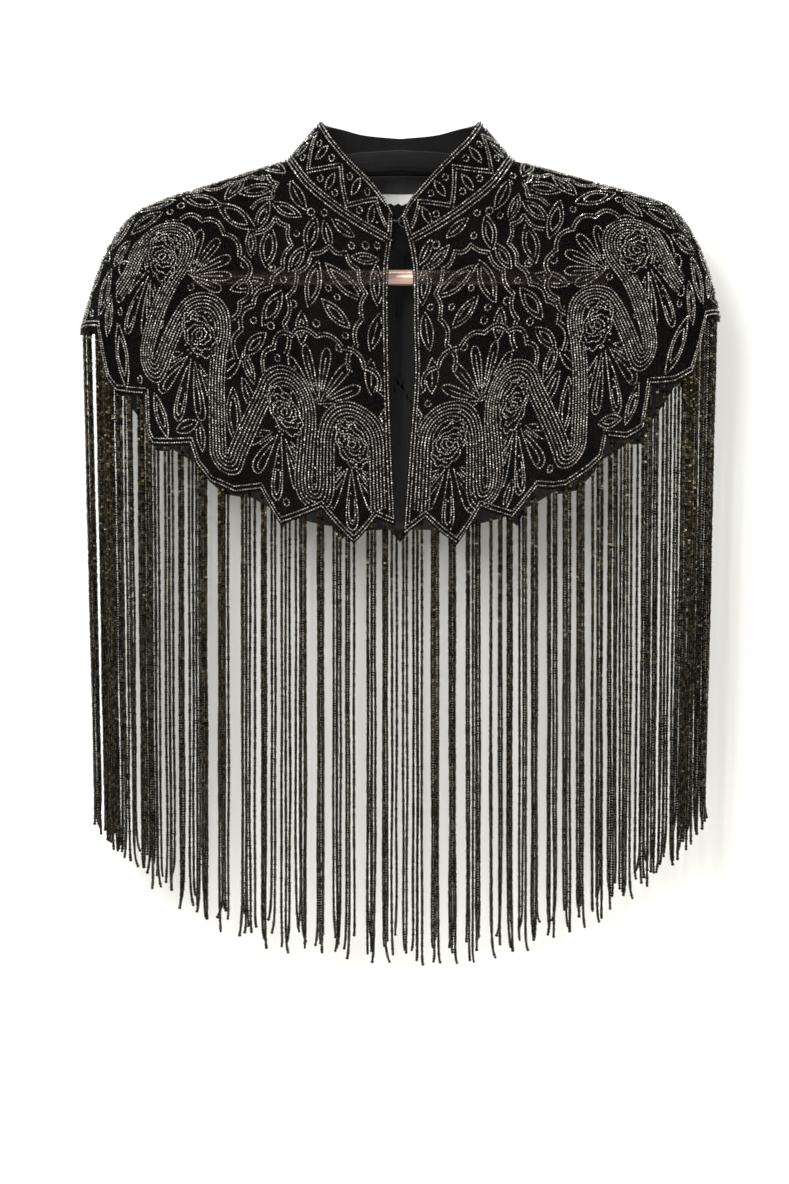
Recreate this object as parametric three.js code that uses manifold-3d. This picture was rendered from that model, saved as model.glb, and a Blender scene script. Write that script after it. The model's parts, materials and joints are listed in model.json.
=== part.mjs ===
// A beaded shoulder cape with a stand collar and a long strand fringe, hung on a slim clothes hanger.
// Millimetres, +Z up, front towards -Y. The origin is the top of the hanger's neck, where its hook screws in.
// All cloth follows one draped surface. Its outline is drawn in the front plane, as distance out from the
// middle and height, and its depth says how far the cloth stands in front of or behind the hanger.
// A place on the cloth is (around, down): around is 0 at the centre back, 1 at a side and 2 at the front edge,
// negative on the side at -X, and down is 0 at the neck seam and 1 at the tips of the scallops.
import * as THREE from "three";
import Module from "manifold-3d";

const wasm = await Module();
wasm.setup();

// Driving sizes
const NET = 1.2; // beaded net, wall thickness
const SATIN = 1.0; // lining and facing, wall thickness
const SEAM = 0.3; // gap between pieces at a seam
const NECK_DEPTH = 50; // neck seam, in front of and behind the hanger
const FRONT_HEM_DEPTH = 60;
const BACK_HEM_DEPTH = 55;
const FULLNESS = 0.35; // how full the sides are, over a plain ellipse
const MERIDIAN = 262; // cloth from the neck seam to a scallop's tip
const COLLAR_HEIGHT = 45;
const COLLAR_LEAN = 4; // the collar's top ring is this much shallower than its base
const STRAND_RADIUS = 1.4;
const STRAND_SPACING = 7.8; // along the hem
const STRAND_SIDE_SPACING = 6; // the same, at the sides
const STRAND_CLUMP_SPACING = 3.15; // side by side in a clump
const STRAND_CLUMPS = [1, 1, 2, 2, 2, 3]; // how many strands hang close together
const STRAND_SIDES = 3;
const FRINGE_DROP = 722; // lowest tips, below the hanger's top
const FRINGE_RISE = 124; // how much higher the tips are at the sides
const FRINGE_RISE_POWER = 2.4;
const HALF_WIDTH = 288;
const TAPE_HEIGHT = 5; // strip that the strands are sewn to
const TAPE = 2.4;
const ROD_RADIUS = 7;
const ROD_HALF_LENGTH = 187;
const ROD_DROP = 115;

// Outlines in the front plane. along runs from 0 to 1 by length, out is the distance from the middle.
const table = (columns, rows) =>
  rows.map((row) => Object.fromEntries(columns.map((name, i) => [name, row[i]])));
const outline = (rows) => table(["along", "out", "z"], rows);
const NECK_FRONT = outline([
  [0, 7.3, -89],
  [0.22, 34, -74],
  [0.47, 59, -57],
  [0.74, 83, -36],
  [1, 101, -10],
]);
const NECK_BACK = outline([
  [0, 0, -17],
  [0.35, 36, -17.5],
  [0.7, 74, -15],
  [1, 101, -10],
]);
const COLLAR_TOP_BACK = outline([
  [0, 0, 16],
  [0.45, 33, 19],
  [0.75, 54, 23.5],
  [1, 71, 25],
]);
const CENTRE_BACK = outline([
  [0, 0, -17],
  [1, 0, -352],
]);
const LEFT = {
  sign: -1,
  collarTopFront: outline([
    [0, 6.5, -59],
    [0.25, 24, -35],
    [0.5, 45, -13],
    [0.75, 60, 6],
    [1, 71, 25],
  ]),
  edge: outline([
    [0, 7.3, -89],
    [0.09, 10.2, -112],
    [0.35, 10, -178],
    [0.6, 8.5, -243],
    [1, 4, -346],
  ]),
  ridge: outline([
    [0, 101, -10],
    [0.311, 180, -35],
    [0.478, 222, -49],
    [0.575, 244, -63],
    [0.7, 263, -90],
    [0.852, 277, -128],
    [1, 288, -166],
  ]),
  hemFront: outline([
    [0, 4, -346],
    [0.103, 40, -355],
    [0.291, 106, -338],
    [0.431, 149, -311],
    [0.505, 172, -298],
    [0.674, 223, -264],
    [0.836, 258, -217],
    [1, 288, -166],
  ]),
  hemBack: outline([
    [0, 0, -352],
    [0.138, 50, -351],
    [0.308, 110, -337],
    [0.52, 176, -299],
    [0.683, 225, -267],
    [0.844, 260, -221],
    [1, 288, -166],
  ]),
};
const RIGHT = {
  sign: 1,
  collarTopFront: outline([
    [0, 0, -61],
    [0.25, 19, -37],
    [0.5, 42, -12],
    [0.75, 60, 7],
    [1, 71, 25],
  ]),
  edge: outline([
    [0, 7.3, -89],
    [0.09, 10.8, -112],
    [0.3, 11.5, -165],
    [0.45, 12.5, -204],
    [0.65, 9, -256],
    [1, 2.5, -349],
  ]),
  ridge: outline([
    [0, 101, -10],
    [0.293, 175, -30],
    [0.5, 227, -45],
    [0.586, 247, -55],
    [0.712, 266, -82],
    [0.859, 280, -118],
    [1, 288, -154],
  ]),
  hemFront: outline([
    [0, 2.5, -349],
    [0.131, 50, -356],
    [0.275, 97, -335],
    [0.431, 147, -304],
    [0.541, 180, -281],
    [0.673, 218, -251],
    [0.835, 257, -206],
    [1, 288, -154],
  ]),
  hemBack: outline([
    [0, 0, -352],
    [0.138, 50, -351],
    [0.308, 110, -336],
    [0.52, 176, -295],
    [0.683, 225, -260],
    [0.844, 260, -212],
    [1, 288, -154],
  ]),
};

// Scallops: how far the hem is cut in above the tips, along the hem's outline.
const scallops = (rows) => table(["along", "inset"], rows);
const SCALLOPS_LEFT = scallops([
  [0, 7],
  [0.048, 19],
  [0.105, 0],
  [0.189, 23],
  [0.29, 0],
  [0.352, 17],
  [0.421, 2],
  [0.491, 0],
  [0.536, 7],
  [0.561, 18],
  [0.66, 0],
  [0.685, 4],
  [0.716, 27],
  [0.811, 4],
  [0.85, 3],
  [0.935, 24],
  [1, 0],
]);
const SCALLOPS_RIGHT = scallops([
  [0, 1],
  [0.052, 19],
  [0.131, 0],
  [0.195, 22],
  [0.281, 1],
  [0.351, 13],
  [0.39, 5],
  [0.426, 0],
  [0.499, 0],
  [0.538, 2],
  [0.556, 15],
  [0.61, 3],
  [0.664, 0],
  [0.706, 26],
  [0.78, 9],
  [0.844, 0],
  [0.94, 20],
  [1, 0],
]);
const SCALLOPS_BACK = scallops([
  [0, 0],
  [0.075, 25],
  [0.15, 0],
  [0.225, 27],
  [0.3, 0],
  [0.37, 24],
  [0.42, 6],
  [0.475, 0],
  [0.53, 4],
  [0.59, 28],
  [0.64, 6],
  [0.68, 0],
  [0.76, 28],
  [0.84, 2],
  [0.935, 27],
  [1, 0],
]);

// Soft flutes that open towards the hem. out is positive where the cloth stands proud.
const FLUTES = table(
  ["around", "width", "out"],
  [
    [-1.74, 0.09, 3],
    [-1.56, 0.08, -3],
    [-1.38, 0.1, 3.5],
    [-0.7, 0.1, 3],
    [-0.46, 0.09, -3],
    [-0.16, 0.12, 3.5],
    [0.2, 0.1, -2.5],
    [0.48, 0.1, 3.5],
    [0.74, 0.09, -2.5],
    [1.4, 0.1, 3],
    [1.6, 0.09, -3],
    [1.78, 0.07, 2.5],
  ],
);

// A smooth curve through a table's rows, at one place along it.
function read(rows, along, column) {
  const last = rows.length - 1;
  let i = 0;
  while (i < last - 1 && along > rows[i + 1].along) i += 1;
  const [a, b] = [rows[i], rows[i + 1]];
  const span = b.along - a.along;
  const before = rows[Math.max(i - 1, 0)];
  const after = rows[Math.min(i + 2, last)];
  const slopeA = (b[column] - before[column]) / (b.along - before.along);
  const slopeB = (after[column] - a[column]) / (after.along - a.along);
  const t = (along - a.along) / span;
  const t2 = t * t;
  const t3 = t2 * t;
  return (
    (2 * t3 - 3 * t2 + 1) * a[column] +
    (t3 - 2 * t2 + t) * span * slopeA +
    (3 * t2 - 2 * t3) * b[column] +
    (t3 - t2) * span * slopeB
  );
}

// Straight lines between a table's rows, which keep the scallops' points sharp.
function readStraight(rows, along, column) {
  const i = rows.findIndex((row, k) => k > 0 && along <= row.along);
  const [a, b] = i < 0 ? rows.slice(-2) : [rows[i - 1], rows[i]];
  return a[column] + ((b[column] - a[column]) * (along - a.along)) / (b.along - a.along);
}

const mix = (a, b, t) => a + (b - a) * t;
const smooth = (low, high, x) => {
  const t = Math.min(1, Math.max(0, (x - low) / (high - low)));
  return t * t * (3 - 2 * t);
};
// A repeatable number from 0 to 1 for each whole number, so that the strands are uneven but always the same.
const chance = (n) => {
  const s = Math.sin(n * 127.1 + 311.7) * 43758.5453;
  return s - Math.floor(s);
};

// Which outlines a place belongs to, and how far along them it is.
function quarter(around) {
  const side = around < 0 ? LEFT : RIGHT;
  const turn = Math.abs(around);
  const front = turn > 1;
  const t = front ? 2 - turn : turn;
  const along = t * (2 - t);
  const roundness = (1 - t) * Math.sqrt(1 + along) * (1 + FULLNESS * along * along);
  return {
    side,
    front,
    along,
    roundness,
    neck: front ? NECK_FRONT : NECK_BACK,
    hem: front ? side.hemFront : side.hemBack,
    edge: front ? side.edge : CENTRE_BACK,
    scallops: front ? (around < 0 ? SCALLOPS_LEFT : SCALLOPS_RIGHT) : SCALLOPS_BACK,
  };
}

// The around value at a place along a quarter's outline.
const aroundAt = (along, front, sign) => {
  const t = 1 - Math.sqrt(1 - along);
  return sign * (front ? 2 - t : t);
};

function clothPoint(around, down) {
  const q = quarter(around);
  const patch = (column) => {
    const [a, d] = [q.along, down];
    const ends = (rows) => [rows[0][column], rows[rows.length - 1][column]];
    const [neckIn, neckOut] = ends(q.neck);
    const [hemIn, hemOut] = ends(q.hem);
    return (
      (1 - d) * read(q.neck, a, column) +
      d * read(q.hem, a, column) +
      (1 - a) * read(q.edge, d, column) +
      a * read(q.side.ridge, d, column) -
      ((1 - a) * (1 - d) * neckIn + a * (1 - d) * neckOut + (1 - a) * d * hemIn + a * d * hemOut)
    );
  };
  const depth = mix(NECK_DEPTH, q.front ? FRONT_HEM_DEPTH : BACK_HEM_DEPTH, down) * q.roundness;
  const flute = FLUTES.reduce(
    (sum, f) => sum + f.out * Math.exp(-(((around - f.around) / f.width) ** 2)),
    0,
  );
  const proud = depth + flute * Math.max(0, down) ** 1.5;
  return new THREE.Vector3(q.side.sign * patch("out"), q.front ? -proud : proud, patch("z"));
}

function collarPoint(around, up) {
  const q = quarter(around);
  const top = q.front ? q.side.collarTopFront : COLLAR_TOP_BACK;
  const rise = (column) => mix(read(q.neck, q.along, column), read(top, q.along, column), up);
  const depth = (NECK_DEPTH - COLLAR_LEAN * up) * q.roundness;
  return new THREE.Vector3(q.side.sign * rise("out"), q.front ? -depth : depth, rise("z"));
}

// A surface's point and outward normal. turn is 1 where the second direction runs down, -1 where it runs up.
function place(surface, around, other, turn) {
  const step = 0.002;
  const low = Math.max(-2, around - step);
  const high = Math.min(2, around + step);
  const sideways = surface(high, other).sub(surface(low, other));
  const onwards = surface(around, other + step).sub(surface(around, other - step));
  return {
    point: surface(around, other),
    normal: sideways.cross(onwards).normalize().multiplyScalar(turn),
  };
}

// A closed wall over a grid of places. outer and inner are how far each face lies inside the surface.
function wall({ surface, turn, columns, rows, other, outer, inner }) {
  const positions = [];
  const index = [];
  const width = columns.length;
  for (const offset of [outer, inner])
    for (let j = 0; j <= rows; j++)
      for (const around of columns) {
        const second = other(around, j / rows);
        const { point, normal } = place(surface, around, second, turn);
        positions.push(...point.addScaledVector(normal, -offset(around, second)).toArray());
      }
  const back = width * (rows + 1);
  const at = (i, j) => j * width + i;
  const quad = (a, b, c, d) => {
    if (turn > 0) index.push(a, b, c, a, c, d);
    else index.push(c, b, a, d, c, a);
  };
  for (let j = 0; j < rows; j++)
    for (let i = 0; i < width - 1; i++) {
      const [a, b, c, d] = [at(i, j), at(i + 1, j), at(i + 1, j + 1), at(i, j + 1)];
      quad(a, b, c, d);
      quad(back + a, back + d, back + c, back + b);
    }
  for (let i = 0; i < width - 1; i++) {
    quad(at(i + 1, 0), at(i, 0), back + at(i, 0), back + at(i + 1, 0));
    quad(at(i, rows), at(i + 1, rows), back + at(i + 1, rows), back + at(i, rows));
  }
  for (let j = 0; j < rows; j++) {
    quad(at(0, j), at(0, j + 1), back + at(0, j + 1), back + at(0, j));
    quad(at(width - 1, j + 1), at(width - 1, j), back + at(width - 1, j), back + at(width - 1, j + 1));
  }
  return meshOf(positions, index);
}

function meshOf(positions, index) {
  const geometry = new THREE.BufferGeometry();
  geometry.setAttribute("position", new THREE.Float32BufferAttribute(positions, 3));
  geometry.setIndex(index);
  return geometry;
}

// Grid columns of one quarter: every corner of its scallops, with more between where they are far apart.
const SEAM_AROUND = 0.002; // about 0.2 mm each side of the shoulder seam
const COLUMN_GAP = 0.062;
function columnsOf(rows, front, sign) {
  const corners = rows.map((row) => aroundAt(row.along, front, sign));
  corners[corners.length - 1] = sign * (front ? 1 + SEAM_AROUND : 1 - SEAM_AROUND);
  const places = corners.flatMap((to, i) => {
    if (!i) return [to];
    const from = corners[i - 1];
    const parts = Math.ceil(Math.abs(to - from) / COLUMN_GAP);
    return Array.from({ length: parts }, (_, k) => mix(from, to, (k + 1) / parts));
  });
  return places.sort((a, b) => a - b);
}
const FRONT_LEFT = columnsOf(SCALLOPS_LEFT, true, -1);
const FRONT_RIGHT = columnsOf(SCALLOPS_RIGHT, true, 1);
const BACK_LEFT = columnsOf(SCALLOPS_BACK, false, -1);
const BACK_RIGHT = columnsOf(SCALLOPS_BACK, false, 1);
const BACK = [...BACK_LEFT.slice(0, -1), ...BACK_RIGHT];

function hemDown(around) {
  const q = quarter(around);
  return 1 - readStraight(q.scallops, q.along, "inset") / MERIDIAN;
}

const constant = (value) => () => value;
const TOP_DOWN = SEAM / MERIDIAN;

// One beaded net panel, from the neck seam down to its scalloped hem. Its last row is as tall as the tape
// that the fringe hangs from.
const PANEL_ROWS = 7;
function panel(columns) {
  return wall({
    surface: clothPoint,
    turn: 1,
    columns,
    rows: PANEL_ROWS + 1,
    other: (around, j) => {
      const hem = hemDown(around);
      const row = Math.round(j * (PANEL_ROWS + 1));
      return row > PANEL_ROWS ? hem : mix(TOP_DOWN, hem - TAPE_HEIGHT / MERIDIAN, row / PANEL_ROWS);
    },
    outer: constant(0),
    inner: constant(NET),
  });
}

// The satin lining inside the back. It leaves the net at the neck seam and hangs clear of the fringe, further
// off towards the sides, and ends in a plain hem.
const LINING_SIDE = 0.9;
const LINING_HEM = 9 / MERIDIAN;
const liningOffset = (around, down) =>
  mix(NET + 1.3 * SEAM, mix(7.4, 12, smooth(0.3, LINING_SIDE, Math.abs(around))), Math.max(0, down) ** 1.3);
function lining() {
  const columns = BACK.filter((around) => Math.abs(around) < LINING_SIDE - 0.02);
  return wall({
    surface: clothPoint,
    turn: 1,
    columns: [-LINING_SIDE, ...columns, LINING_SIDE],
    rows: 6,
    other: (_, j) => mix(TOP_DOWN, 1 - LINING_HEM, j),
    outer: liningOffset,
    inner: (around, down) => liningOffset(around, down) + SATIN,
  });
}

// The bare woven label on the lining, below the back neck seam.
const LABEL_HALF = 0.092; // around, for a width of about 50
const LABEL_TOP = 0.052;
const LABEL_BOTTOM = 0.118;
const LABEL = 0.7;
function label() {
  const columns = Array.from({ length: 9 }, (_, i) => LABEL_HALF * (i / 4 - 1));
  const top = (around, down) => liningOffset(around, down) + SATIN + SEAM;
  return wall({
    surface: clothPoint,
    turn: 1,
    columns,
    rows: 2,
    other: (_, j) => mix(LABEL_TOP, LABEL_BOTTOM, j),
    outer: top,
    inner: (around, down) => top(around, down) + LABEL,
  });
}

// The stand collar and its facing, with rounded front corners.
const COLLAR_COLUMNS = 48;
const CORNER = 0.06;
const CORNER_CUT = 0.16;
function collar(outer, thickness, rows) {
  const columns = Array.from({ length: COLLAR_COLUMNS + 1 }, (_, i) => (4 * i) / COLLAR_COLUMNS - 2);
  const ends = [-2 + CORNER / 3, -2 + CORNER, 2 - CORNER, 2 - CORNER / 3];
  const places = [...columns, ...ends].sort((a, b) => a - b);
  const topAt = (around) => {
    const t = Math.max(0, 1 - (2 - Math.abs(around)) / CORNER);
    return 1 - CORNER_CUT * t * t;
  };
  return wall({
    surface: collarPoint,
    turn: -1,
    columns: places,
    rows,
    other: (around, j) => mix(SEAM / COLLAR_HEIGHT, topAt(around), j),
    outer: constant(outer),
    inner: constant(outer + thickness),
  });
}

// A solid through rings of points that face the way the rings run.
function loft(rings) {
  const sides = rings[0].length;
  const positions = rings.flat().flatMap((p) => p.toArray());
  const index = [];
  for (let r = 0; r < rings.length - 1; r++)
    for (let k = 0; k < sides; k++) {
      const [a, b] = [r * sides + k, r * sides + ((k + 1) % sides)];
      index.push(a, b, b + sides, a, b + sides, a + sides);
    }
  const end = (rings.length - 1) * sides;
  for (let k = 1; k < sides - 1; k++) {
    index.push(0, k + 1, k);
    index.push(end, end + k, end + k + 1);
  }
  return meshOf(positions, index);
}

const solid = (geometry) =>
  new wasm.Manifold(
    new wasm.Mesh({
      numProp: 3,
      vertProperties: geometry.getAttribute("position").array,
      triVerts: new Uint32Array(geometry.index.array),
    }),
  );

function geometryOf(made) {
  const { vertProperties, triVerts } = made.getMesh();
  return meshOf(Array.from(vertProperties), Array.from(triVerts));
}

// Where the strands are sewn on: even steps along the hem, and none so near another that they would touch.
const taken = [];
const SEWN = 1200;
function strandRoots(front, sign, number) {
  const roots = [];
  let last = clothPoint(front ? 2 * sign : 0, 1);
  let travelled = 0;
  let next = 2.5;
  let size = 1;
  let left = 0;
  for (let i = 1; i < SEWN; i++) {
    const t = i / SEWN;
    const around = sign * (front ? 2 - t : t);
    const here = clothPoint(around, 1);
    travelled += here.distanceTo(last);
    last = here;
    if (travelled < next) continue;
    const down = hemDown(around) - (0.4 * TAPE_HEIGHT) / MERIDIAN;
    const { point, normal } = place(clothPoint, around, down, 1);
    point.addScaledVector(normal, -(NET + 2 * SEAM + TAPE / 2));
    const near = (r) => Math.hypot(r.x - point.x, r.y - point.y) < STRAND_CLUMP_SPACING;
    if (taken.some(near) || Math.abs(point.y) < STRAND_RADIUS + SEAM) continue;
    taken.push(point);
    roots.push(point);
    if (left > 0) {
      next = travelled + STRAND_CLUMP_SPACING;
      left -= 1;
      continue;
    }
    const seed = number + roots.length;
    const spacing = mix(STRAND_SPACING, STRAND_SIDE_SPACING, smooth(150, 200, Math.abs(point.x)));
    const gap = spacing * size - STRAND_CLUMP_SPACING * (size - 1);
    next = travelled + gap * mix(0.8, 1.2, chance(seed));
    size = STRAND_CLUMPS[Math.floor(chance(seed + 0.5) * STRAND_CLUMPS.length)];
    left = size - 1;
  }
  return roots;
}

// Each strand hangs plumb from its root to an uneven tip.
function strands(roots, firstNumber) {
  return roots.map((root, i) => {
    const reach = Math.abs(root.x) / HALF_WIDTH;
    const ragged = 16 * (chance(firstNumber + i + 0.75) - 0.5);
    const tip = -FRINGE_DROP + FRINGE_RISE * reach ** FRINGE_RISE_POWER + ragged;
    return [root, new THREE.Vector3(root.x * (1 - 0.04 * reach ** 4), root.y, tip)];
  });
}

function strandSolid(points, number) {
  const turned = chance(number) * Math.PI;
  const rings = points.map((p) =>
    Array.from({ length: STRAND_SIDES }, (_, k) => {
      const a = turned - (2 * Math.PI * k) / STRAND_SIDES;
      return new THREE.Vector3(
        p.x + STRAND_RADIUS * Math.cos(a),
        p.y + STRAND_RADIUS * Math.sin(a),
        p.z,
      );
    }),
  );
  return solid(loft(rings));
}

// One quarter of the fringe: a tape inside the scalloped hem, with its strands fused to it.
function fringe(columns, front, sign, firstNumber) {
  const tape = wall({
    surface: clothPoint,
    turn: 1,
    columns: columns.map((a) => (Math.abs(a) < SEAM_AROUND ? sign * SEAM_AROUND : a)),
    rows: 1,
    other: (around, j) => hemDown(around) - mix(TAPE_HEIGHT, 0.3, j) / MERIDIAN,
    outer: constant(NET + SEAM),
    inner: constant(NET + SEAM + TAPE),
  });
  const hanging = strands(strandRoots(front, sign, firstNumber), firstNumber);
  const all = hanging.map((points, i) => strandSolid(points, firstNumber + i));
  return { geometry: geometryOf(wasm.Manifold.union([solid(tape), ...all])), count: hanging.length };
}

// A hanger arm: an oval section that follows the shoulder just under the cloth, up to the hanger's neck.
const ARM_HALF_THICKNESS = 6;
const ARM_HALF_HEIGHT = 10;
const ARM_SIDES = 12;
const ARM_END_ROW = 3.6; // how many of the panels' rows the arm runs along
const armPlace = (side, row) => {
  const down = mix(TOP_DOWN, 1 - TAPE_HEIGHT / MERIDIAN, row / PANEL_ROWS);
  return new THREE.Vector2(read(side.ridge, down, "out"), read(side.ridge, down, "z"));
};
function arm(side) {
  const under = NET + 2 * SEAM + ARM_HALF_HEIGHT;
  const shoulder = [0.5, 1, 2, 3, ARM_END_ROW].map((row) => {
    const here = armPlace(side, row);
    const way = armPlace(side, row + 0.05).sub(armPlace(side, row - 0.05)).normalize();
    return { place: here.add(new THREE.Vector2(way.y, -way.x).multiplyScalar(under)), way };
  });
  const inner = shoulder[0];
  const neck = [0.15, 35, 70].map((out) => {
    const t = out / inner.place.x;
    const slope = Math.atan2(inner.way.y, inner.way.x) * t;
    return {
      place: new THREE.Vector2(out, mix(-ARM_HALF_HEIGHT, inner.place.y, t ** 1.7)),
      way: new THREE.Vector2(Math.cos(slope), Math.sin(slope)),
    };
  });
  const stations = [...neck, ...shoulder];
  const rings = stations.map(({ place: centre, way }, n) => {
    const taper = n === stations.length - 1 ? 0.6 : 1;
    return Array.from({ length: ARM_SIDES }, (_, k) => {
      const a = -side.sign * ((2 * Math.PI * k) / ARM_SIDES);
      const high = ARM_HALF_HEIGHT * taper * Math.sin(a);
      return new THREE.Vector3(
        side.sign * (centre.x - way.y * high),
        -ARM_HALF_THICKNESS * taper * Math.cos(a),
        centre.y + way.x * high,
      );
    });
  });
  return loft(rings);
}

// The brackets stand under the arms, one at each end of the rod.
const BRACKET = { thickness: 3, depth: 10 };
function armUnderside(side, out) {
  const stations = [0.5, 1, 2, 3, ARM_END_ROW].map((row) => {
    const way = armPlace(side, row + 0.05).sub(armPlace(side, row - 0.05)).normalize();
    const deep = NET + 2 * SEAM + 2 * ARM_HALF_HEIGHT;
    return armPlace(side, row).add(new THREE.Vector2(way.y, -way.x).multiplyScalar(deep));
  });
  const i = stations.findIndex((p) => p.x > out);
  const [a, b] = [stations[i - 1], stations[i]];
  return mix(a.y, b.y, (out - a.x) / (b.x - a.x));
}
function bracket(side) {
  const outer = ROD_HALF_LENGTH + SEAM + BRACKET.thickness;
  const top = armUnderside(side, outer) - SEAM;
  const height = top + ROD_DROP + ROD_RADIUS;
  const geometry = new THREE.BoxGeometry(BRACKET.thickness, BRACKET.depth, height);
  return geometry.translate(side.sign * (outer - BRACKET.thickness / 2), 0, top - height / 2);
}

function rod() {
  const geometry = new THREE.CylinderGeometry(ROD_RADIUS, ROD_RADIUS, 2 * ROD_HALF_LENGTH, 24);
  return geometry.rotateZ(Math.PI / 2).translate(0, 0, -ROD_DROP);
}

// The neck's hook and eye, in wire, fastened behind the collar's front corners.
const WIRE = 0.8;
function wire(points) {
  const section = new THREE.Shape();
  const sides = 6;
  for (let k = 0; k < sides; k++) {
    const a = (2 * Math.PI * k) / sides;
    section[k ? "lineTo" : "moveTo"](WIRE * Math.cos(a), WIRE * Math.sin(a));
  }
  const path = new THREE.CatmullRomCurve3(points.map((p) => new THREE.Vector3(...p)));
  return new THREE.ExtrudeGeometry(section, { steps: 12, bevelEnabled: false, extrudePath: path });
}
const CLOSURE = { y: -43.2, z: -69 };
const closureHook = () =>
  wire([
    [-15, CLOSURE.y, CLOSURE.z + 3],
    [-8, CLOSURE.y, CLOSURE.z + 1],
    [-1, CLOSURE.y, CLOSURE.z],
    [2.4, CLOSURE.y + 1.6, CLOSURE.z],
    [0.2, CLOSURE.y + 3.8, CLOSURE.z],
    [-4.5, CLOSURE.y + 4, CLOSURE.z],
  ]);
const closureEye = () =>
  wire([
    [8, CLOSURE.y + 1.2, CLOSURE.z + 5.5],
    [2, CLOSURE.y + 1.9, CLOSURE.z + 4.5],
    [-1.4, CLOSURE.y + 2, CLOSURE.z],
    [2, CLOSURE.y + 1.9, CLOSURE.z - 4.5],
    [8, CLOSURE.y + 1.2, CLOSURE.z - 5.5],
  ]);

const finish = (color, roughness, metalness) =>
  new THREE.MeshStandardMaterial({ color, roughness, metalness });
const BEADED_NET = finish(0x17151a, 0.55, 0.2);
const BLACK_SATIN = finish(0x1c1c1f, 0.42, 0);
const GLASS_BEADS = finish(0x2b2822, 0.3, 0.4);
const WHITE_TAPE = finish(0xe9e8e4, 0.8, 0);
const BLACK_WOOD = finish(0x151517, 0.5, 0);
const BLACK_METAL = finish(0x101011, 0.35, 0.7);
const ROSE_ROD = finish(0xd9a28c, 0.38, 0.5);

const cape = new THREE.Group();
function add(name, geometry, material) {
  const mesh = new THREE.Mesh(geometry, material);
  mesh.name = name;
  cape.add(mesh);
}

add("front_left", panel(FRONT_LEFT), BEADED_NET);
add("front_right", panel(FRONT_RIGHT), BEADED_NET);
add("back", panel(BACK), BEADED_NET);
add("back_lining", lining(), BLACK_SATIN);
add("collar", collar(0, NET, 2), BEADED_NET);
add("collar_facing", collar(NET + SEAM, SATIN, 2), BLACK_SATIN);
add("neck_label", label(), WHITE_TAPE);
add("closure_hook", closureHook(), BLACK_METAL);
add("closure_eye", closureEye(), BLACK_METAL);

const FRINGES = [
  { name: "fringe_front_left", columns: FRONT_LEFT, front: true, sign: -1, number: 100 },
  { name: "fringe_front_right", columns: FRONT_RIGHT, front: true, sign: 1, number: 300 },
  { name: "fringe_back_left", columns: BACK_LEFT, front: false, sign: -1, number: 500 },
  { name: "fringe_back_right", columns: BACK_RIGHT, front: false, sign: 1, number: 700 },
];
for (const { name, columns, front, sign, number } of FRINGES)
  add(name, fringe(columns, front, sign, number).geometry, GLASS_BEADS);

add("hanger_arm_left", arm(LEFT), BLACK_WOOD);
add("hanger_arm_right", arm(RIGHT), BLACK_WOOD);
add("hanger_rod", rod(), ROSE_ROD);
add("rod_bracket_left", bracket(LEFT), BLACK_METAL);
add("rod_bracket_right", bracket(RIGHT), BLACK_METAL);

export default cape;
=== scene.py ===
"""A beaded shoulder cape on a slim hanger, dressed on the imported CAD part.

The cloth follows the same draped surface as the CAD panels. A place on it is (around, down): around is 0 at
the centre back, 1 at a side and 2 at the front edge, negative on the side at -X. Down is 0 at the neck seam
and 1 at the tips of the scallops. Surface maths is in millimetres, and meshes are in metres.
"""

import json
import math
from itertools import product

import bmesh
import bpy
import numpy as np
from bpy.props import FloatProperty, FloatVectorProperty, IntProperty, PointerProperty
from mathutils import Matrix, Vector

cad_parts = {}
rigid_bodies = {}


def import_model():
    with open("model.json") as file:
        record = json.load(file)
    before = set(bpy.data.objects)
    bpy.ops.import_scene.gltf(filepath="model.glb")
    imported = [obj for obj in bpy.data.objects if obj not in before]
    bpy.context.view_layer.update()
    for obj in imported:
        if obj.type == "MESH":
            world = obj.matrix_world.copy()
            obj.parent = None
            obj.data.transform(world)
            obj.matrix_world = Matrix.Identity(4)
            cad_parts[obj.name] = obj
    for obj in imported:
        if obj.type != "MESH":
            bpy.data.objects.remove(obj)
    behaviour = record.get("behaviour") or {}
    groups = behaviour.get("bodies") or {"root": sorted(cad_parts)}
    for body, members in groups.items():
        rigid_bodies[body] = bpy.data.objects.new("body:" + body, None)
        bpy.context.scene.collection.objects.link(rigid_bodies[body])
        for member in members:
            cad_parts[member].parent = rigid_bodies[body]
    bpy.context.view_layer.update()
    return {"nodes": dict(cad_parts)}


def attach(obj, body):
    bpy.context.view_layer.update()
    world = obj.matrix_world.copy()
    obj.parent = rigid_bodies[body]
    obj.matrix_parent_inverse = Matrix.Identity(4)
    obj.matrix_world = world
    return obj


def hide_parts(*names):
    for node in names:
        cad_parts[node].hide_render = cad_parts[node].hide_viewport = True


bl_info = {
    "name": "Beaded Cape",
    "version": (1, 0, 0),
    "blender": (4, 5, 0),
    "location": "View3D > Sidebar > Cape",
    "description": "Builds a beaded net cape with a stand collar and a long bead fringe, on its hanger",
    "category": "Object",
}

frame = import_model()
MM = 0.001
PHOTO_HEIGHT = 1184
SENSOR = 36.0

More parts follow.
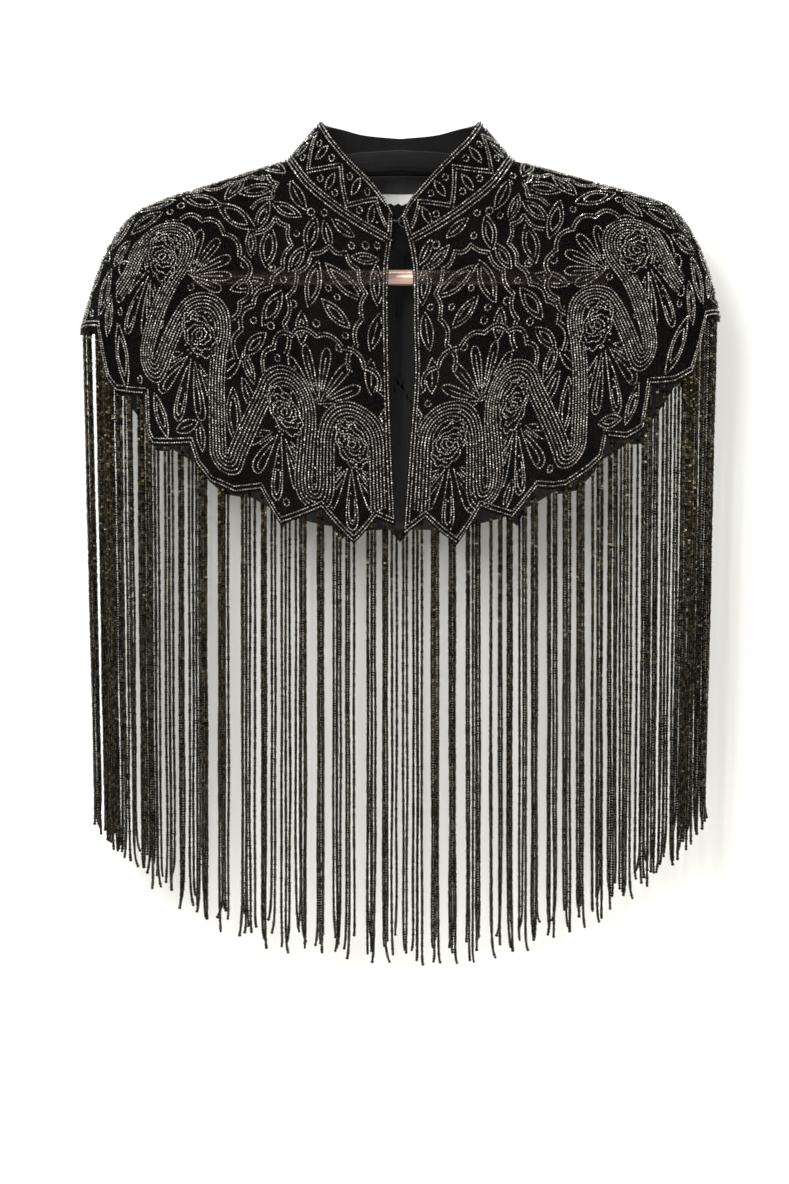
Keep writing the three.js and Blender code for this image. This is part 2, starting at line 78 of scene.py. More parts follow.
# Sizes that the dressed pieces share with the CAD part, in millimetres
NET = 1.2
SATIN = 1.0
SEAM = 0.3
NECK_DEPTH = 50
FRONT_HEM_DEPTH = 60
BACK_HEM_DEPTH = 55
FULLNESS = 0.35
MERIDIAN = 262
COLLAR_HEIGHT = 45
COLLAR_LEAN = 4
STRAND_SPACING = 7.8
STRAND_SIDE_SPACING = 6
STRAND_CLUMPS = (1, 1, 2, 2, 2, 3)
STRAND_CLUMP_SPACING = 3.15
STRAND_RADIUS = 1.4
FRINGE_DROP = 722
FRINGE_RISE = 124
FRINGE_RISE_POWER = 2.4
HALF_WIDTH = 288
TAPE_HEIGHT = 5
TAPE = 2.4
ROD_DROP = 115
ROD_RADIUS = 7
ROD_HALF_LENGTH = 187
# Where the black sheet of painted shade hangs in the neck opening, in millimetres
SHADE_SHEET_HALF_WIDTH = 15
SHADE_SHEET_TOP = -53.5
SHADE_SHEET_BOTTOM = -93
LINING_SIDE = 0.9
LINING_RISE = 9
LABEL_HALF = 0.092
LABEL_TOP = 0.052
LABEL_BOTTOM = 0.118
CLOSURE_DEPTH = -43.2
CLOSURE_HEIGHT = -69
WIRE_RADIUS = 0.8
TOP_DOWN = SEAM / MERIDIAN
SEAM_AROUND = 0.002


def table(*rows):
    """Rows of numbers as an array."""
    return np.array(rows, float)


# Outlines in the front plane: along the outline, out from the middle, height
NECK_FRONT = table((0, 7.3, -89), (0.22, 34, -74), (0.47, 59, -57), (0.74, 83, -36), (1, 101, -10))
NECK_BACK = table((0, 0, -17), (0.35, 36, -17.5), (0.7, 74, -15), (1, 101, -10))
COLLAR_TOP_BACK = table((0, 0, 16), (0.45, 33, 19), (0.75, 54, 23.5), (1, 71, 25))
CENTRE_BACK = table((0, 0, -17), (1, 0, -352))
COLLAR_TOP_LEFT = table((0, 6.5, -59), (0.25, 24, -35), (0.5, 45, -13), (0.75, 60, 6), (1, 71, 25))
EDGE_LEFT = table((0, 7.3, -89), (0.09, 10.2, -112), (0.35, 10, -178), (0.6, 8.5, -243), (1, 4, -346))
RIDGE_LEFT = table(
    (0, 101, -10), (0.311, 180, -35), (0.478, 222, -49), (0.575, 244, -63), (0.7, 263, -90),
    (0.852, 277, -128), (1, 288, -166),
)
HEM_FRONT_LEFT = table(
    (0, 4, -346), (0.103, 40, -355), (0.291, 106, -338), (0.431, 149, -311), (0.505, 172, -298),
    (0.674, 223, -264), (0.836, 258, -217), (1, 288, -166),
)
HEM_BACK_LEFT = table(
    (0, 0, -352), (0.138, 50, -351), (0.308, 110, -337), (0.52, 176, -299), (0.683, 225, -267),
    (0.844, 260, -221), (1, 288, -166),
)
COLLAR_TOP_RIGHT = table((0, 0, -61), (0.25, 19, -37), (0.5, 42, -12), (0.75, 60, 7), (1, 71, 25))
EDGE_RIGHT = table(
    (0, 7.3, -89), (0.09, 10.8, -112), (0.3, 11.5, -165), (0.45, 12.5, -204), (0.65, 9, -256),
    (1, 2.5, -349),
)
RIDGE_RIGHT = table(
    (0, 101, -10), (0.293, 175, -30), (0.5, 227, -45), (0.586, 247, -55), (0.712, 266, -82),
    (0.859, 280, -118), (1, 288, -154),
)
HEM_FRONT_RIGHT = table(
    (0, 2.5, -349), (0.131, 50, -356), (0.275, 97, -335), (0.431, 147, -304),
    (0.541, 180, -281), (0.673, 218, -251), (0.835, 257, -206), (1, 288, -154),
)
HEM_BACK_RIGHT = table(
    (0, 0, -352), (0.138, 50, -351), (0.308, 110, -336), (0.52, 176, -295), (0.683, 225, -260),
    (0.844, 260, -212), (1, 288, -154),
)

# Scallops: along the hem, and how far the hem is cut in above the tips
SCALLOPS_LEFT = table(
    (0, 7), (0.048, 19), (0.105, 0), (0.189, 23), (0.29, 0), (0.352, 17), (0.421, 2),
    (0.491, 0), (0.536, 7), (0.561, 18), (0.66, 0), (0.685, 4), (0.716, 27), (0.811, 4),
    (0.85, 3), (0.935, 24), (1, 0),
)
SCALLOPS_RIGHT = table(
    (0, 1), (0.052, 19), (0.131, 0), (0.195, 22), (0.281, 1), (0.351, 13), (0.39, 5),
    (0.426, 0), (0.499, 0), (0.538, 2), (0.556, 15), (0.61, 3), (0.664, 0), (0.706, 26),
    (0.78, 9), (0.844, 0), (0.94, 20), (1, 0),
)
SCALLOPS_BACK = table(
    (0, 0), (0.075, 25), (0.15, 0), (0.225, 27), (0.3, 0), (0.37, 24), (0.42, 6), (0.475, 0),
    (0.53, 4), (0.59, 28), (0.64, 6), (0.68, 0), (0.76, 28), (0.84, 2), (0.935, 27), (1, 0),
)

# Soft flutes that open towards the hem: around, width, out
FLUTES = table(
    (-1.74, 0.09, 3), (-1.56, 0.08, -3), (-1.38, 0.1, 3.5), (-0.7, 0.1, 3), (-0.46, 0.09, -3),
    (-0.16, 0.12, 3.5), (0.2, 0.1, -2.5), (0.48, 0.1, 3.5), (0.74, 0.09, -2.5), (1.4, 0.1, 3),
    (1.6, 0.09, -3), (1.78, 0.07, 2.5),
)


class Quarter:
    """A front, or half of the back, with the outlines that it hangs between."""

    def __init__(self, name, sign, front, neck, edge, ridge, hem, scallops, collar_top, strands_from):
        self.name = name
        self.sign = sign
        self.front = front
        self.neck = neck
        self.edge = edge
        self.ridge = ridge
        self.hem = hem
        self.scallops = scallops
        self.collar_top = collar_top
        self.strands_from = strands_from

    def owns(self, around):
        return ((around < 0) == (self.sign < 0)) & ((np.abs(around) > 1) == self.front)

    def share(self, around):
        """How far along its outlines a place is, from the middle to the side."""
        turn = np.abs(around)
        t = 2 - turn if self.front else turn
        return t, t * (2 - t)

    def around(self, along):
        t = 1 - np.sqrt(1 - along)
        return self.sign * (2 - t if self.front else t)

    def hem_down(self, around):
        along = self.share(around)[1]
        return 1 - np.interp(along, self.scallops[:, 0], self.scallops[:, 1]) / MERIDIAN


FRONT_LEFT = Quarter(
    "front_left", -1, True, NECK_FRONT, EDGE_LEFT, RIDGE_LEFT,
    HEM_FRONT_LEFT, SCALLOPS_LEFT, COLLAR_TOP_LEFT, 100,
)
FRONT_RIGHT = Quarter(
    "front_right", 1, True, NECK_FRONT, EDGE_RIGHT, RIDGE_RIGHT,
    HEM_FRONT_RIGHT, SCALLOPS_RIGHT, COLLAR_TOP_RIGHT, 300,
)
BACK_LEFT = Quarter(
    "back_left", -1, False, NECK_BACK, CENTRE_BACK, RIDGE_LEFT,
    HEM_BACK_LEFT, SCALLOPS_BACK, COLLAR_TOP_BACK, 500,
)
BACK_RIGHT = Quarter(
    "back_right", 1, False, NECK_BACK, CENTRE_BACK, RIDGE_RIGHT,
    HEM_BACK_RIGHT, SCALLOPS_BACK, COLLAR_TOP_BACK, 700,
)
QUARTERS = [FRONT_LEFT, FRONT_RIGHT, BACK_LEFT, BACK_RIGHT]


def curve(rows, along, column):
    """A smooth curve through a table's rows."""
    last = len(rows) - 1
    i = np.searchsorted(rows[1:last, 0], along)
    a, b = rows[i], rows[i + 1]
    before, after = rows[np.maximum(i - 1, 0)], rows[np.minimum(i + 2, last)]
    span = b[..., 0] - a[..., 0]
    slope_a = (b[..., column] - before[..., column]) / (b[..., 0] - before[..., 0])
    slope_b = (after[..., column] - a[..., column]) / (after[..., 0] - a[..., 0])
    t = (along - a[..., 0]) / span
    return (
        (2 * t**3 - 3 * t**2 + 1) * a[..., column]
        + (t**3 - 2 * t**2 + t) * span * slope_a
        + (3 * t**2 - 2 * t**3) * b[..., column]
        + (t**3 - t**2) * span * slope_b
    )


def mix(a, b, t):
    """From a to b by the share t."""
    return a + (b - a) * t


def smooth(low, high, x):
    """A soft step from 0 at low to 1 at high."""
    t = np.clip((x - low) / (high - low), 0, 1)
    return t * t * (3 - 2 * t)


def chance(n):
    """A repeatable number from 0 to 1, the same as the CAD part uses for its strands."""
    s = np.sin(n * 127.1 + 311.7) * 43758.5453
    return s - np.floor(s)


def in_each_quarter(around, second, make):
    """Fills points quarter by quarter: make gives out, depth and height for the places of one quarter."""
    around, second = np.broadcast_arrays(np.asarray(around, float), np.asarray(second, float))
    points = np.zeros(around.shape + (3,))
    for q in QUARTERS:
        mine = q.owns(around)
        if not mine.any():
            continue
        t, along = q.share(around[mine])
        roundness = (1 - t) * np.sqrt(1 + along) * (1 + FULLNESS * along**2)
        out, depth, height = make(q, around[mine], along, second[mine], roundness)
        points[mine] = np.stack([q.sign * out, -depth if q.front else depth, height], axis=-1)
    return points


def cloth(around, down):
    """The draped surface of the net."""

    def make(q, a, along, d, roundness):
        def blend(column):
            neck_in, neck_out = q.neck[0, column], q.neck[-1, column]
            hem_in, hem_out = q.hem[0, column], q.hem[-1, column]
            near = (1 - d) * neck_in + d * hem_in
            far = (1 - d) * neck_out + d * hem_out
            corners = (1 - along) * near + along * far
            across = (1 - d) * curve(q.neck, along, column) + d * curve(q.hem, along, column)
            down_ways = (1 - along) * curve(q.edge, d, column) + along * curve(q.ridge, d, column)
            return across + down_ways - corners

        depth = mix(NECK_DEPTH, FRONT_HEM_DEPTH if q.front else BACK_HEM_DEPTH, d) * roundness
        flute = sum(out * np.exp(-(((a - middle) / width) ** 2)) for middle, width, out in FLUTES)
        return blend(1), depth + flute * np.maximum(0, d) ** 1.5, blend(2)

    return in_each_quarter(around, down, make)


def collar_cloth(around, down):
    """The stand collar's surface. Down is 0 at its top edge and 1 at the neck seam."""

    def make(q, _, along, d, roundness):
        out = mix(curve(q.collar_top, along, 1), curve(q.neck, along, 1), d)
        height = mix(curve(q.collar_top, along, 2), curve(q.neck, along, 2), d)
        return out, (NECK_DEPTH - COLLAR_LEAN * (1 - d)) * roundness, height

    return in_each_quarter(around, down, make)


def unit(vectors):
    """Vectors made one long."""
    return vectors / np.linalg.norm(vectors, axis=-1, keepdims=True)


def run_along(points):
    """How far along a line each of its points lies."""
    return np.concatenate([[0], np.cumsum(np.linalg.norm(np.diff(points, axis=0), axis=1))])


def sampled(line, run, at):
    """A line's values at places along it."""
    return np.stack([np.interp(at, run, column) for column in line.T], axis=1)


def placed(surface, around, down):
    """Points on a surface and its outward normals."""
    step = 0.002
    low, high = np.maximum(-2, around - step), np.minimum(2, around + step)
    sideways = surface(high, down) - surface(low, down)
    onwards = surface(around, down + step) - surface(around, down - step)
    return surface(around, down), unit(np.cross(sideways, onwards))


def lining_offset(around, down):
    """How far inside the net the lining hangs, in millimetres."""
    away = mix(7.4, 12, smooth(0.3, 0.9, np.abs(around)))
    return mix(NET + 1.3 * SEAM, away, np.maximum(0, down) ** 1.3)


def collar_top(around):
    """How far down the collar's rounded front corners start."""
    t = np.maximum(0, 1 - (2 - np.abs(around)) / 0.06)
    return 0.16 * t * t


class CapeCloth(bpy.types.PropertyGroup):
    """Sizes and colours of the net, the satin and the label."""

    net_thickness: FloatProperty(
        name="Net thickness",
        description="Thickness of the net with its backing",
        default=0.0007,
        unit="LENGTH",
    )
    net_step: FloatProperty(
        name="Net step", description="Size of the net's faces", default=0.0045, unit="LENGTH"
    )
    net_opacity: FloatProperty(
        name="Net opacity", description="How much one layer of net hides", default=0.6, subtype="FACTOR"
    )
    net_colour: FloatVectorProperty(
        name="Net colour",
        description="Colour of the net",
        default=(0.0018, 0.0015, 0.0015),
        subtype="COLOR",
    )
    satin_thickness: FloatProperty(
        name="Satin thickness",
        description="Thickness of the lining and facing",
        default=0.0006,
        unit="LENGTH",
    )
    satin_colour: FloatVectorProperty(
        name="Satin colour",
        description="Colour of the lining and facing",
        default=(0.0165, 0.0165, 0.017),
        subtype="COLOR",
    )
    fold_depth: FloatProperty(
        name="Fold depth", description="Depth of the lining's soft folds", default=0.0014, unit="LENGTH"
    )
    label_colour: FloatVectorProperty(
        name="Label colour",
        description="Colour of the woven label",
        default=(0.95, 0.95, 0.93),
        subtype="COLOR",
    )


class CapeBeads(bpy.types.PropertyGroup):
    """Sizes and colours of the embroidery's beads."""

    pitch: FloatProperty(
        name="Pitch", description="From one bead to the next on its thread", default=0.00222, unit="LENGTH"
    )
    width: FloatProperty(name="Width", description="Width of a bead", default=0.00195, unit="LENGTH")
    line_gap: FloatProperty(
        name="Line gap", description="From one line of beads to the next", default=0.00295, unit="LENGTH"
    )
    dark: FloatVectorProperty(
        name="Dark beads",
        description="Colour of the darkest beads",
        default=(0.036, 0.033, 0.029),
        subtype="COLOR",
    )
    light: FloatVectorProperty(
        name="Light beads",
        description="Colour of the lightest beads",
        default=(0.74, 0.69, 0.62),
        subtype="COLOR",
    )


class CapeFringe(bpy.types.PropertyGroup):
    """Sizes and colours of the fringe."""

    pitch: FloatProperty(
        name="Pitch", description="From one bead to the next on its strand", default=0.0023, unit="LENGTH"
    )
    width: FloatProperty(name="Width", description="Width of a bead", default=0.0034, unit="LENGTH")
    sway: FloatProperty(
        name="Sway", description="How far a strand strays from a plumb line", default=0.0003, unit="LENGTH"
    )
    curl: FloatProperty(
        name="Tip curl",
        description="How far the last beads of a strand bend aside",
        default=0.0035,
        unit="LENGTH",
    )
    dark: FloatVectorProperty(
        name="Dark beads",
        description="Colour of the darkest beads",
        default=(0.0035, 0.0025, 0.0009),
        subtype="COLOR",
    )
    light: FloatVectorProperty(
        name="Light beads",
        description="Colour of the lightest beads",
        default=(0.10, 0.077, 0.036),
        subtype="COLOR",
    )


class CapeHanger(bpy.types.PropertyGroup):
    """Colours of the hanger, and the smoothness of its rod."""

    rod_colour: FloatVectorProperty(
        name="Rod colour",
        description="Colour of the trouser rod",
        default=(0.95, 0.62, 0.50),
        subtype="COLOR",
    )
    arm_colour: FloatVectorProperty(
        name="Arm colour",
        description="Colour of the lacquered arms",
        default=(0.007, 0.007, 0.007),
        subtype="COLOR",
    )
    rod_sides: IntProperty(name="Rod sides", description="Faces round the trouser rod", default=64)


class CapeStage(bpy.types.PropertyGroup):
    """The floor, the board behind the cape, the lights and the camera."""

    scale: FloatProperty(
        name="Scale",
        description="Size of a pixel of the photograph, at the hanger",
        default=0.0009,
        unit="LENGTH",
    )
    distance: FloatProperty(
        name="Distance", description="From the camera to the hanger", default=3.0, unit="LENGTH"
    )
    camera_x: FloatProperty(
        name="Camera x", description="Camera's place across", default=-0.005, unit="LENGTH"
    )
    camera_z: FloatProperty(
        name="Camera z", description="Camera's height", default=-0.398, unit="LENGTH"
    )
    board_back: FloatProperty(
        name="Board", description="How far the board stands behind the hanger", default=0.105, unit="LENGTH"
    )
    floor_drop: FloatProperty(
        name="Floor",
        description="How far the floor lies below the hanger's top",
        default=1.25,
        unit="LENGTH",
    )
    key_power: FloatProperty(
        name="Key light", description="Power of the key light", default=50.0, unit="POWER"
    )
    fill_power: FloatProperty(
        name="Fill light", description="Power of the fill light", default=16.0, unit="POWER"
    )
    back_power: FloatProperty(
        name="Back light", description="Power of the lights behind the cape", default=30.0, unit="POWER"
    )
    world_strength: FloatProperty(name="World", description="Strength of the even light", default=0.5)
    pale: FloatVectorProperty(
        name="Pale",
        description="Colour of the floor and the board",
        default=(0.94, 0.93, 0.895),
        subtype="COLOR",
    )


class Shade:
    """A number that varies over a surface. Arithmetic on it adds Math nodes to its finish."""

    def __init__(self, finish, socket):
        self.finish = finish
        self.socket = socket

    def maths(self, operation, *values):
        return self.finish.shade("ShaderNodeMath", {"operation": operation}, dict(enumerate(values)))

    def __add__(self, other):
        return self.maths("ADD", self, other)

    def __sub__(self, other):
        return self.maths("SUBTRACT", self, other)

    def __rsub__(self, other):
        return self.maths("SUBTRACT", other, self)

    def __mul__(self, other):
        return self.maths("MULTIPLY", self, other)

    __radd__ = __add__
    __rmul__ = __mul__

    def between(self, low, high):
        """A soft step from 0 at low to 1 at high."""
        inputs = {"Value": self, "From Min": low, "From Max": high}
        return self.finish.shade("ShaderNodeMapRange", {"interpolation_type": "SMOOTHSTEP"}, inputs)


class Finish:
    """A material in the making."""

    def __init__(self, name, **constants):
        self.material = bpy.data.materials.new(name)
        self.material.use_nodes = True
        self.nodes = self.material.node_tree.nodes
        self.links = self.material.node_tree.links
        self.principled = self.nodes["Principled BSDF"]
        self.give(self.principled, constants)

    def give(self, node, inputs):
        for name, value in inputs.items():
            socket = node.inputs[name.replace("_", " ") if isinstance(name, str) else name]
            if isinstance(value, Shade):
                value = value.socket
            if isinstance(value, bpy.types.NodeSocket):
                self.links.new(value, socket)
            elif socket.type == "RGBA" and len(value) == 3:
                socket.default_value = (*value, 1)
            else:
                socket.default_value = value

    def node(self, kind, settings=None, inputs=None):
        """Makes a node: its settings first, then its sockets' values or links."""
        made = self.nodes.new(kind)
        for name, value in (settings or {}).items():
            setattr(made, name, value)
        self.give(made, inputs or {})
        return made

    def shade(self, kind, settings=None, inputs=None, output=0):
        return Shade(self, self.node(kind, settings, inputs).outputs[output])

    def place(self):
        return self.node("ShaderNodeTexCoord").outputs["Object"]

    def attribute(self, name):
        return self.shade("ShaderNodeAttribute", {"attribute_name": name}, output="Fac")

    def noise(self, scale, detail=2, vector=None):
        inputs = {"Vector": vector or self.place(), "Scale": scale, "Detail": detail}
        return self.shade("ShaderNodeTexNoise", None, inputs)

    def colours(self, share, first, second):
        inputs = {0: share, 6: first, 7: second}
        return self.node("ShaderNodeMix", {"data_type": "RGBA"}, inputs).outputs[2]

    def relief(self, height, depth):
        inputs = {"Height": height, "Distance": depth, "Strength": 1.0}
        return self.node("ShaderNodeBump", None, inputs).outputs["Normal"]

    def set(self, **inputs):
        self.give(self.principled, inputs)
        return self.material


def stretched(finish, scale):
    """Object coordinates, scaled along each axis."""
    inputs = {"Vector": finish.place(), "Scale": scale}
    return finish.node("ShaderNodeMapping", None, inputs).outputs["Vector"]


def net_finish(cloth_settings):
    """Black net: a fine mesh of thread, with a painted brown glow in uneven patches standing in for light
    coming through.
    """
    finish = Finish("black_net", Roughness=0.8, Specular_IOR_Level=0.05)
    holes = finish.shade(
        "ShaderNodeTexVoronoi", {"feature": "DISTANCE_TO_EDGE"}, {"Vector": finish.place(), "Scale": 800.0}
    )
    thread = 1 - holes.between(0.06, 0.22)
    # Painted light: where these patches are high, the net's colour turns brown, standing in for light coming
    # through. They also vary its opacity.
    uneven_patches = finish.noise(22.0)
    painted_glow_colour = finish.colours(uneven_patches.between(0.35, 0.7), cloth_settings.net_colour, (0.0045, 0.003, 0.0025))
    opacity = cloth_settings.net_opacity
    return finish.set(
        Base_Color=painted_glow_colour,
        Alpha=thread * (0.96 - opacity) * 0.9 + (opacity - 0.12) + uneven_patches * 0.12,
        Normal=finish.relief(thread, 0.0002),
    )


def satin_finish(name, colour, roughness, shine=0.22):
    """Black satin: a fine twill, a soft lustre and faint creases, with painted sheen: a lighter colour on the
    crease ridges.
    """
    finish = Finish(name, Specular_IOR_Level=shine, Sheen_Weight=0.04, Sheen_Roughness=0.4)
    weave = finish.shade(
        "ShaderNodeTexWave",
        {"wave_type": "BANDS", "bands_direction": "DIAGONAL"},
        {"Vector": finish.place(), "Scale": 620.0, "Distortion": 0.4},
    )
    creases = finish.noise(1.0, 4, stretched(finish, (38.0, 38.0, 9.0)))
    height = weave * 0.12 + creases * 3.0
    # Painted sheen: the satin's colour is almost twice as light where the crease noise is high.
    painted_crease_sheen = tuple(c * 1.9 for c in colour)
    return finish.set(
        Base_Color=finish.colours(creases.between(0.35, 0.75), colour, painted_crease_sheen),
        Roughness=creases * 0.22 + (roughness - 0.11),
        Normal=finish.relief(height, 0.0006),
    )


def label_finish(colour):
    """Plain woven tape, ribbed across, with turned edges."""
    finish = Finish("label_weave", Roughness=0.82, Specular_IOR_Level=0.25, Sheen_Weight=0.2)

    def lines(direction, scale):
        inputs = {"Vector": finish.place(), "Scale": scale, "Distortion": 0.6}
        return finish.shade("ShaderNodeTexWave", {"bands_direction": direction}, inputs)

    ribs = lines("Z", 420.0)
    threads = lines("X", 300.0)
    tone = finish.noise(160.0)
    shaded = tuple(c * 0.82 for c in colour)
    return finish.set(
        Base_Color=finish.colours(tone * 0.6 + ribs * 0.2, colour, shaded),
        Normal=finish.relief(ribs * 0.6 + threads * 0.4, 0.0003),
    )


def bead_finish(name, dark, light, roughness, metallic, lustre=0.7):
    """Cut glass beads: each one has its own tone, and the lightest few are painted paler and made shinier as
    glints.
    """
    finish = Finish(name, IOR=1.6, Specular_IOR_Level=lustre)
    tone = finish.attribute("tone")
    # Painted glint: beads of the highest tones get a paler colour, more metal and less roughness.
    glint_mask = tone.between(0.86, 0.97)
    painted_glint_colour = tuple(min(1.0, c * 1.25 + 0.05) for c in light)
    body = finish.colours(tone, dark, light)
    grain = finish.noise(2600.0)
    return finish.set(
        Base_Color=finish.colours(glint_mask, body, painted_glint_colour),
        Roughness=grain * 0.14 + (roughness - 0.05) - glint_mask * 0.06,
        Metallic=glint_mask * (1 - metallic) * 0.6 + metallic,
        Normal=finish.relief(grain, 0.00008),
    )


def lacquer_finish(name, colour, roughness, coat=0.35, shine=0.3):
    """Black lacquer over wood or metal, faintly uneven."""
    finish = Finish(name, Coat_Weight=coat, Coat_Roughness=0.18, Specular_IOR_Level=shine)
    grain = finish.noise(1.0, 5, stretched(finish, (14.0, 90.0, 90.0)))
    scuffs = finish.noise(340.0)
    worn = tuple(c * 2.4 for c in colour)
    return finish.set(
        Base_Color=finish.colours(grain.between(0.45, 0.8), colour, worn),
        Roughness=scuffs * 0.2 + roughness - 0.1,
        Normal=finish.relief(grain * 0.7 + scuffs * 0.3, 0.0002),
    )


def copper_finish(colour):
    """Satin rose copper, brushed round the rod and a little worn."""
    finish = Finish("rose_copper", Coat_Weight=0.2, Coat_Roughness=0.3)
    brushed = finish.noise(1.0, 3, stretched(finish, (1400.0, 60.0, 60.0)))
    uneven_patches = finish.noise(45.0, 4)
    paler = tuple(min(1.0, c * 1.12 + 0.03) for c in colour)
    return finish.set(
        Base_Color=finish.colours(uneven_patches.between(0.4, 0.75), colour, paler),
        Metallic=uneven_patches * 0.2 + 0.45,
        Roughness=brushed * 0.16 + 0.30,
        Normal=finish.relief(brushed, 0.00005),
    )


def stage_finish(name, colour, see_through_behind=False):
    """A plain pale surface. The board is seen from its front only, so that it hides nothing from behind."""
    finish = Finish(name, Base_Color=colour, Roughness=0.9, Specular_IOR_Level=0.1)
    tone = finish.noise(3.0)
    finish.set(Roughness=tone * 0.08 + 0.86)
    if see_through_behind:
        clear = finish.node("ShaderNodeBsdfTransparent").outputs[0]
        backside = finish.node("ShaderNodeNewGeometry").outputs["Backfacing"]
        front = finish.principled.outputs[0]
        both = finish.node("ShaderNodeMixShader", None, {0: backside, 1: front, 2: clear})
        finish.give(finish.nodes["Material Output"], {"Surface": both.outputs[0]})
    return finish.material


def as_piece(mesh_or_bmesh, name, finish, replaces=(), smooth_faces=True):
    """Links a mesh as a piece of the cape, with its finish, and hides the CAD parts that it replaces."""
    mesh = mesh_or_bmesh
    if isinstance(mesh, bmesh.types.BMesh):
        mesh = bpy.data.meshes.new(name)
        mesh_or_bmesh.to_mesh(mesh)
        mesh_or_bmesh.free()
    mesh.polygons.foreach_set("use_smooth", [smooth_faces] * len(mesh.polygons))
    piece = bpy.data.objects.new(name, mesh)
    bpy.context.scene.collection.objects.link(piece)
    piece.data.materials.append(finish)
    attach(piece, "root")
    if replaces:
        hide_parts(*replaces)
    return piece


def shell(columns, rows, place, thickness):
    """A closed thin shell of cloth. place gives points for arrays of (around, share of the way down)."""
    bm = bmesh.new()
    bmesh.ops.create_grid(bm, x_segments=len(columns) - 1, y_segments=rows, size=1.0)
    flat = np.array([v.co[:2] for v in bm.verts])
    i = np.rint((flat[:, 0] + 1) / 2 * (len(columns) - 1)).astype(int)
    points = place(np.asarray(columns)[i], (flat[:, 1] + 1) / 2) * MM
    for vert, point in zip(bm.verts, points):
        vert.co = point
    bmesh.ops.solidify(bm, geom=bm.faces[:], thickness=thickness)
    if bm.calc_volume(signed=True) < 0:
        bmesh.ops.reverse_faces(bm, faces=bm.faces[:])
    return bm


def columns_of(corners, step):
    """Columns at every corner, with more between them where they are far apart."""
    corners = np.sort(corners)
    parts = [corners[:1]]
    for a, b in zip(corners, corners[1:]):
        parts.append(np.linspace(a, b, max(1, math.ceil((b - a) / step)) + 1)[1:])
    return np.concatenate(parts)


def quarter_corners(q):
    """Where the corners of a quarter's hem lie, around the cape."""
    corners = q.around(q.scallops[:, 0])
    corners[-1] = q.sign * (1 + SEAM_AROUND if q.front else 1 - SEAM_AROUND)
    return corners


class Patch:
    """A piece of cloth laid flat: u runs along it from 0 to 1 and v runs down it."""

    ROWS = 90
    COLUMNS = 420
    REACH = 1.02

    def __init__(self, surface, first, last, top, hem):
        self.hem = hem
        self.top = top
        self.rows = np.linspace(0, self.REACH, self.ROWS)
        steps = np.linspace(first, last, self.COLUMNS)
        even = np.linspace(0, 1, self.COLUMNS)
        self.around = np.zeros((self.ROWS, self.COLUMNS))
        self.lengths = np.zeros(self.ROWS)
        for j, v in enumerate(self.rows):
            points = surface(steps, v)
            run = run_along(points)
            self.lengths[j] = run[-1]
            self.around[j] = np.interp(even, run / run[-1], steps)
        v = np.repeat(self.rows[:, None], self.COLUMNS, axis=1)
        self.points, self.normals = placed(surface, self.around, v)
        self.drops = np.linalg.norm(np.diff(self.points, axis=0), axis=2).sum(axis=0) / self.REACH

    def length(self, v):
        return np.interp(v, self.rows, self.lengths)

    def drop(self, u):
        return np.interp(u, np.linspace(0, 1, self.COLUMNS), self.drops)

    def area(self):
        """Area of the cloth in square metres, without its scallops."""
        return float(np.mean(self.lengths) * np.mean(self.drops)) * MM * MM

    def u_at(self, around, v):
        j = int(round(v / self.REACH * (self.ROWS - 1)))
        row = self.around[j]
        order = np.argsort(row)
        return np.interp(around, row[order], np.linspace(0, 1, self.COLUMNS)[order])

    def look(self, grid, u, v):
        """Reads a grid of values between its rows and columns."""
        x = np.clip(u, 0, 1) * (self.COLUMNS - 1)
        y = np.clip(v / self.REACH, 0, 1) * (self.ROWS - 1)
        i = np.minimum(x.astype(int), self.COLUMNS - 2)
        j = np.minimum(y.astype(int), self.ROWS - 2)
        a, b = (x - i), (y - j)
        if grid.ndim == 3:
            a, b = a[:, None], b[:, None]
        upper = grid[j, i] * (1 - a) + grid[j, i + 1] * a
        lower = grid[j + 1, i] * (1 - a) + grid[j + 1, i + 1] * a
        return upper * (1 - b) + lower * b

    def local(self, u, v, line):
        """A motif's line, in millimetres across and down from its middle, laid at (u, v)."""
        down = v + line[:, 1] / self.drop(u)
        return np.stack([u + line[:, 0] / self.length(down), down], axis=1)

    def on_cloth(self, line):
        u, v = line[:, 0], line[:, 1]
        around = self.look(self.around, u, v)
        inside = (u >= 0) & (u <= 1) & (v >= self.top(around)) & (v <= self.hem(around))
        return self.look(self.points, u, v), self.look(self.normals, u, v), inside


# Lines of the embroidery, in millimetres across and down from a motif's middle


def flowing(points, samples=10):
    """A smooth line through points."""
    p = np.asarray(points, float)
    q = np.concatenate([2 * p[:1] - p[1:2], p, 2 * p[-1:] - p[-2:-1]])
    t = np.linspace(0, 1, samples, endpoint=False)[:, None]
    parts = []
    for a, b, c, d in zip(q, q[1:], q[2:], q[3:]):
        square = (2 * a - 5 * b + 4 * c - d) * t**2
        cube = (3 * b - a - 3 * c + d) * t**3
        parts.append(0.5 * (2 * b + (c - a) * t + square + cube))
    return np.concatenate([*parts, q[-2:-1]])


def oval(width, height, lobes=0, lobe=0.0):
    """An oval line, with lobes where they are asked for. It starts at the right and runs down and round."""
    a = np.radians(np.linspace(0, 360, 72))
    swell = 1 + lobe * (np.abs(np.sin(a * lobes / 2)) - 0.5) if lobes else 1
    return np.stack([width / 2 * np.cos(a) * swell, height / 2 * np.sin(a) * swell], axis=1)


def petal(length, width):
    """A petal that starts at a point and ends round, growing upwards."""
    t = np.linspace(0, 1, 30)
    half = width / 2 * 1.18 * t**0.9 * np.sqrt(np.maximum(0, 1 - t**5))
    edge = np.stack([half, -length * t], axis=1)
    return np.concatenate([edge, (edge * (-1, 1))[::-1]])


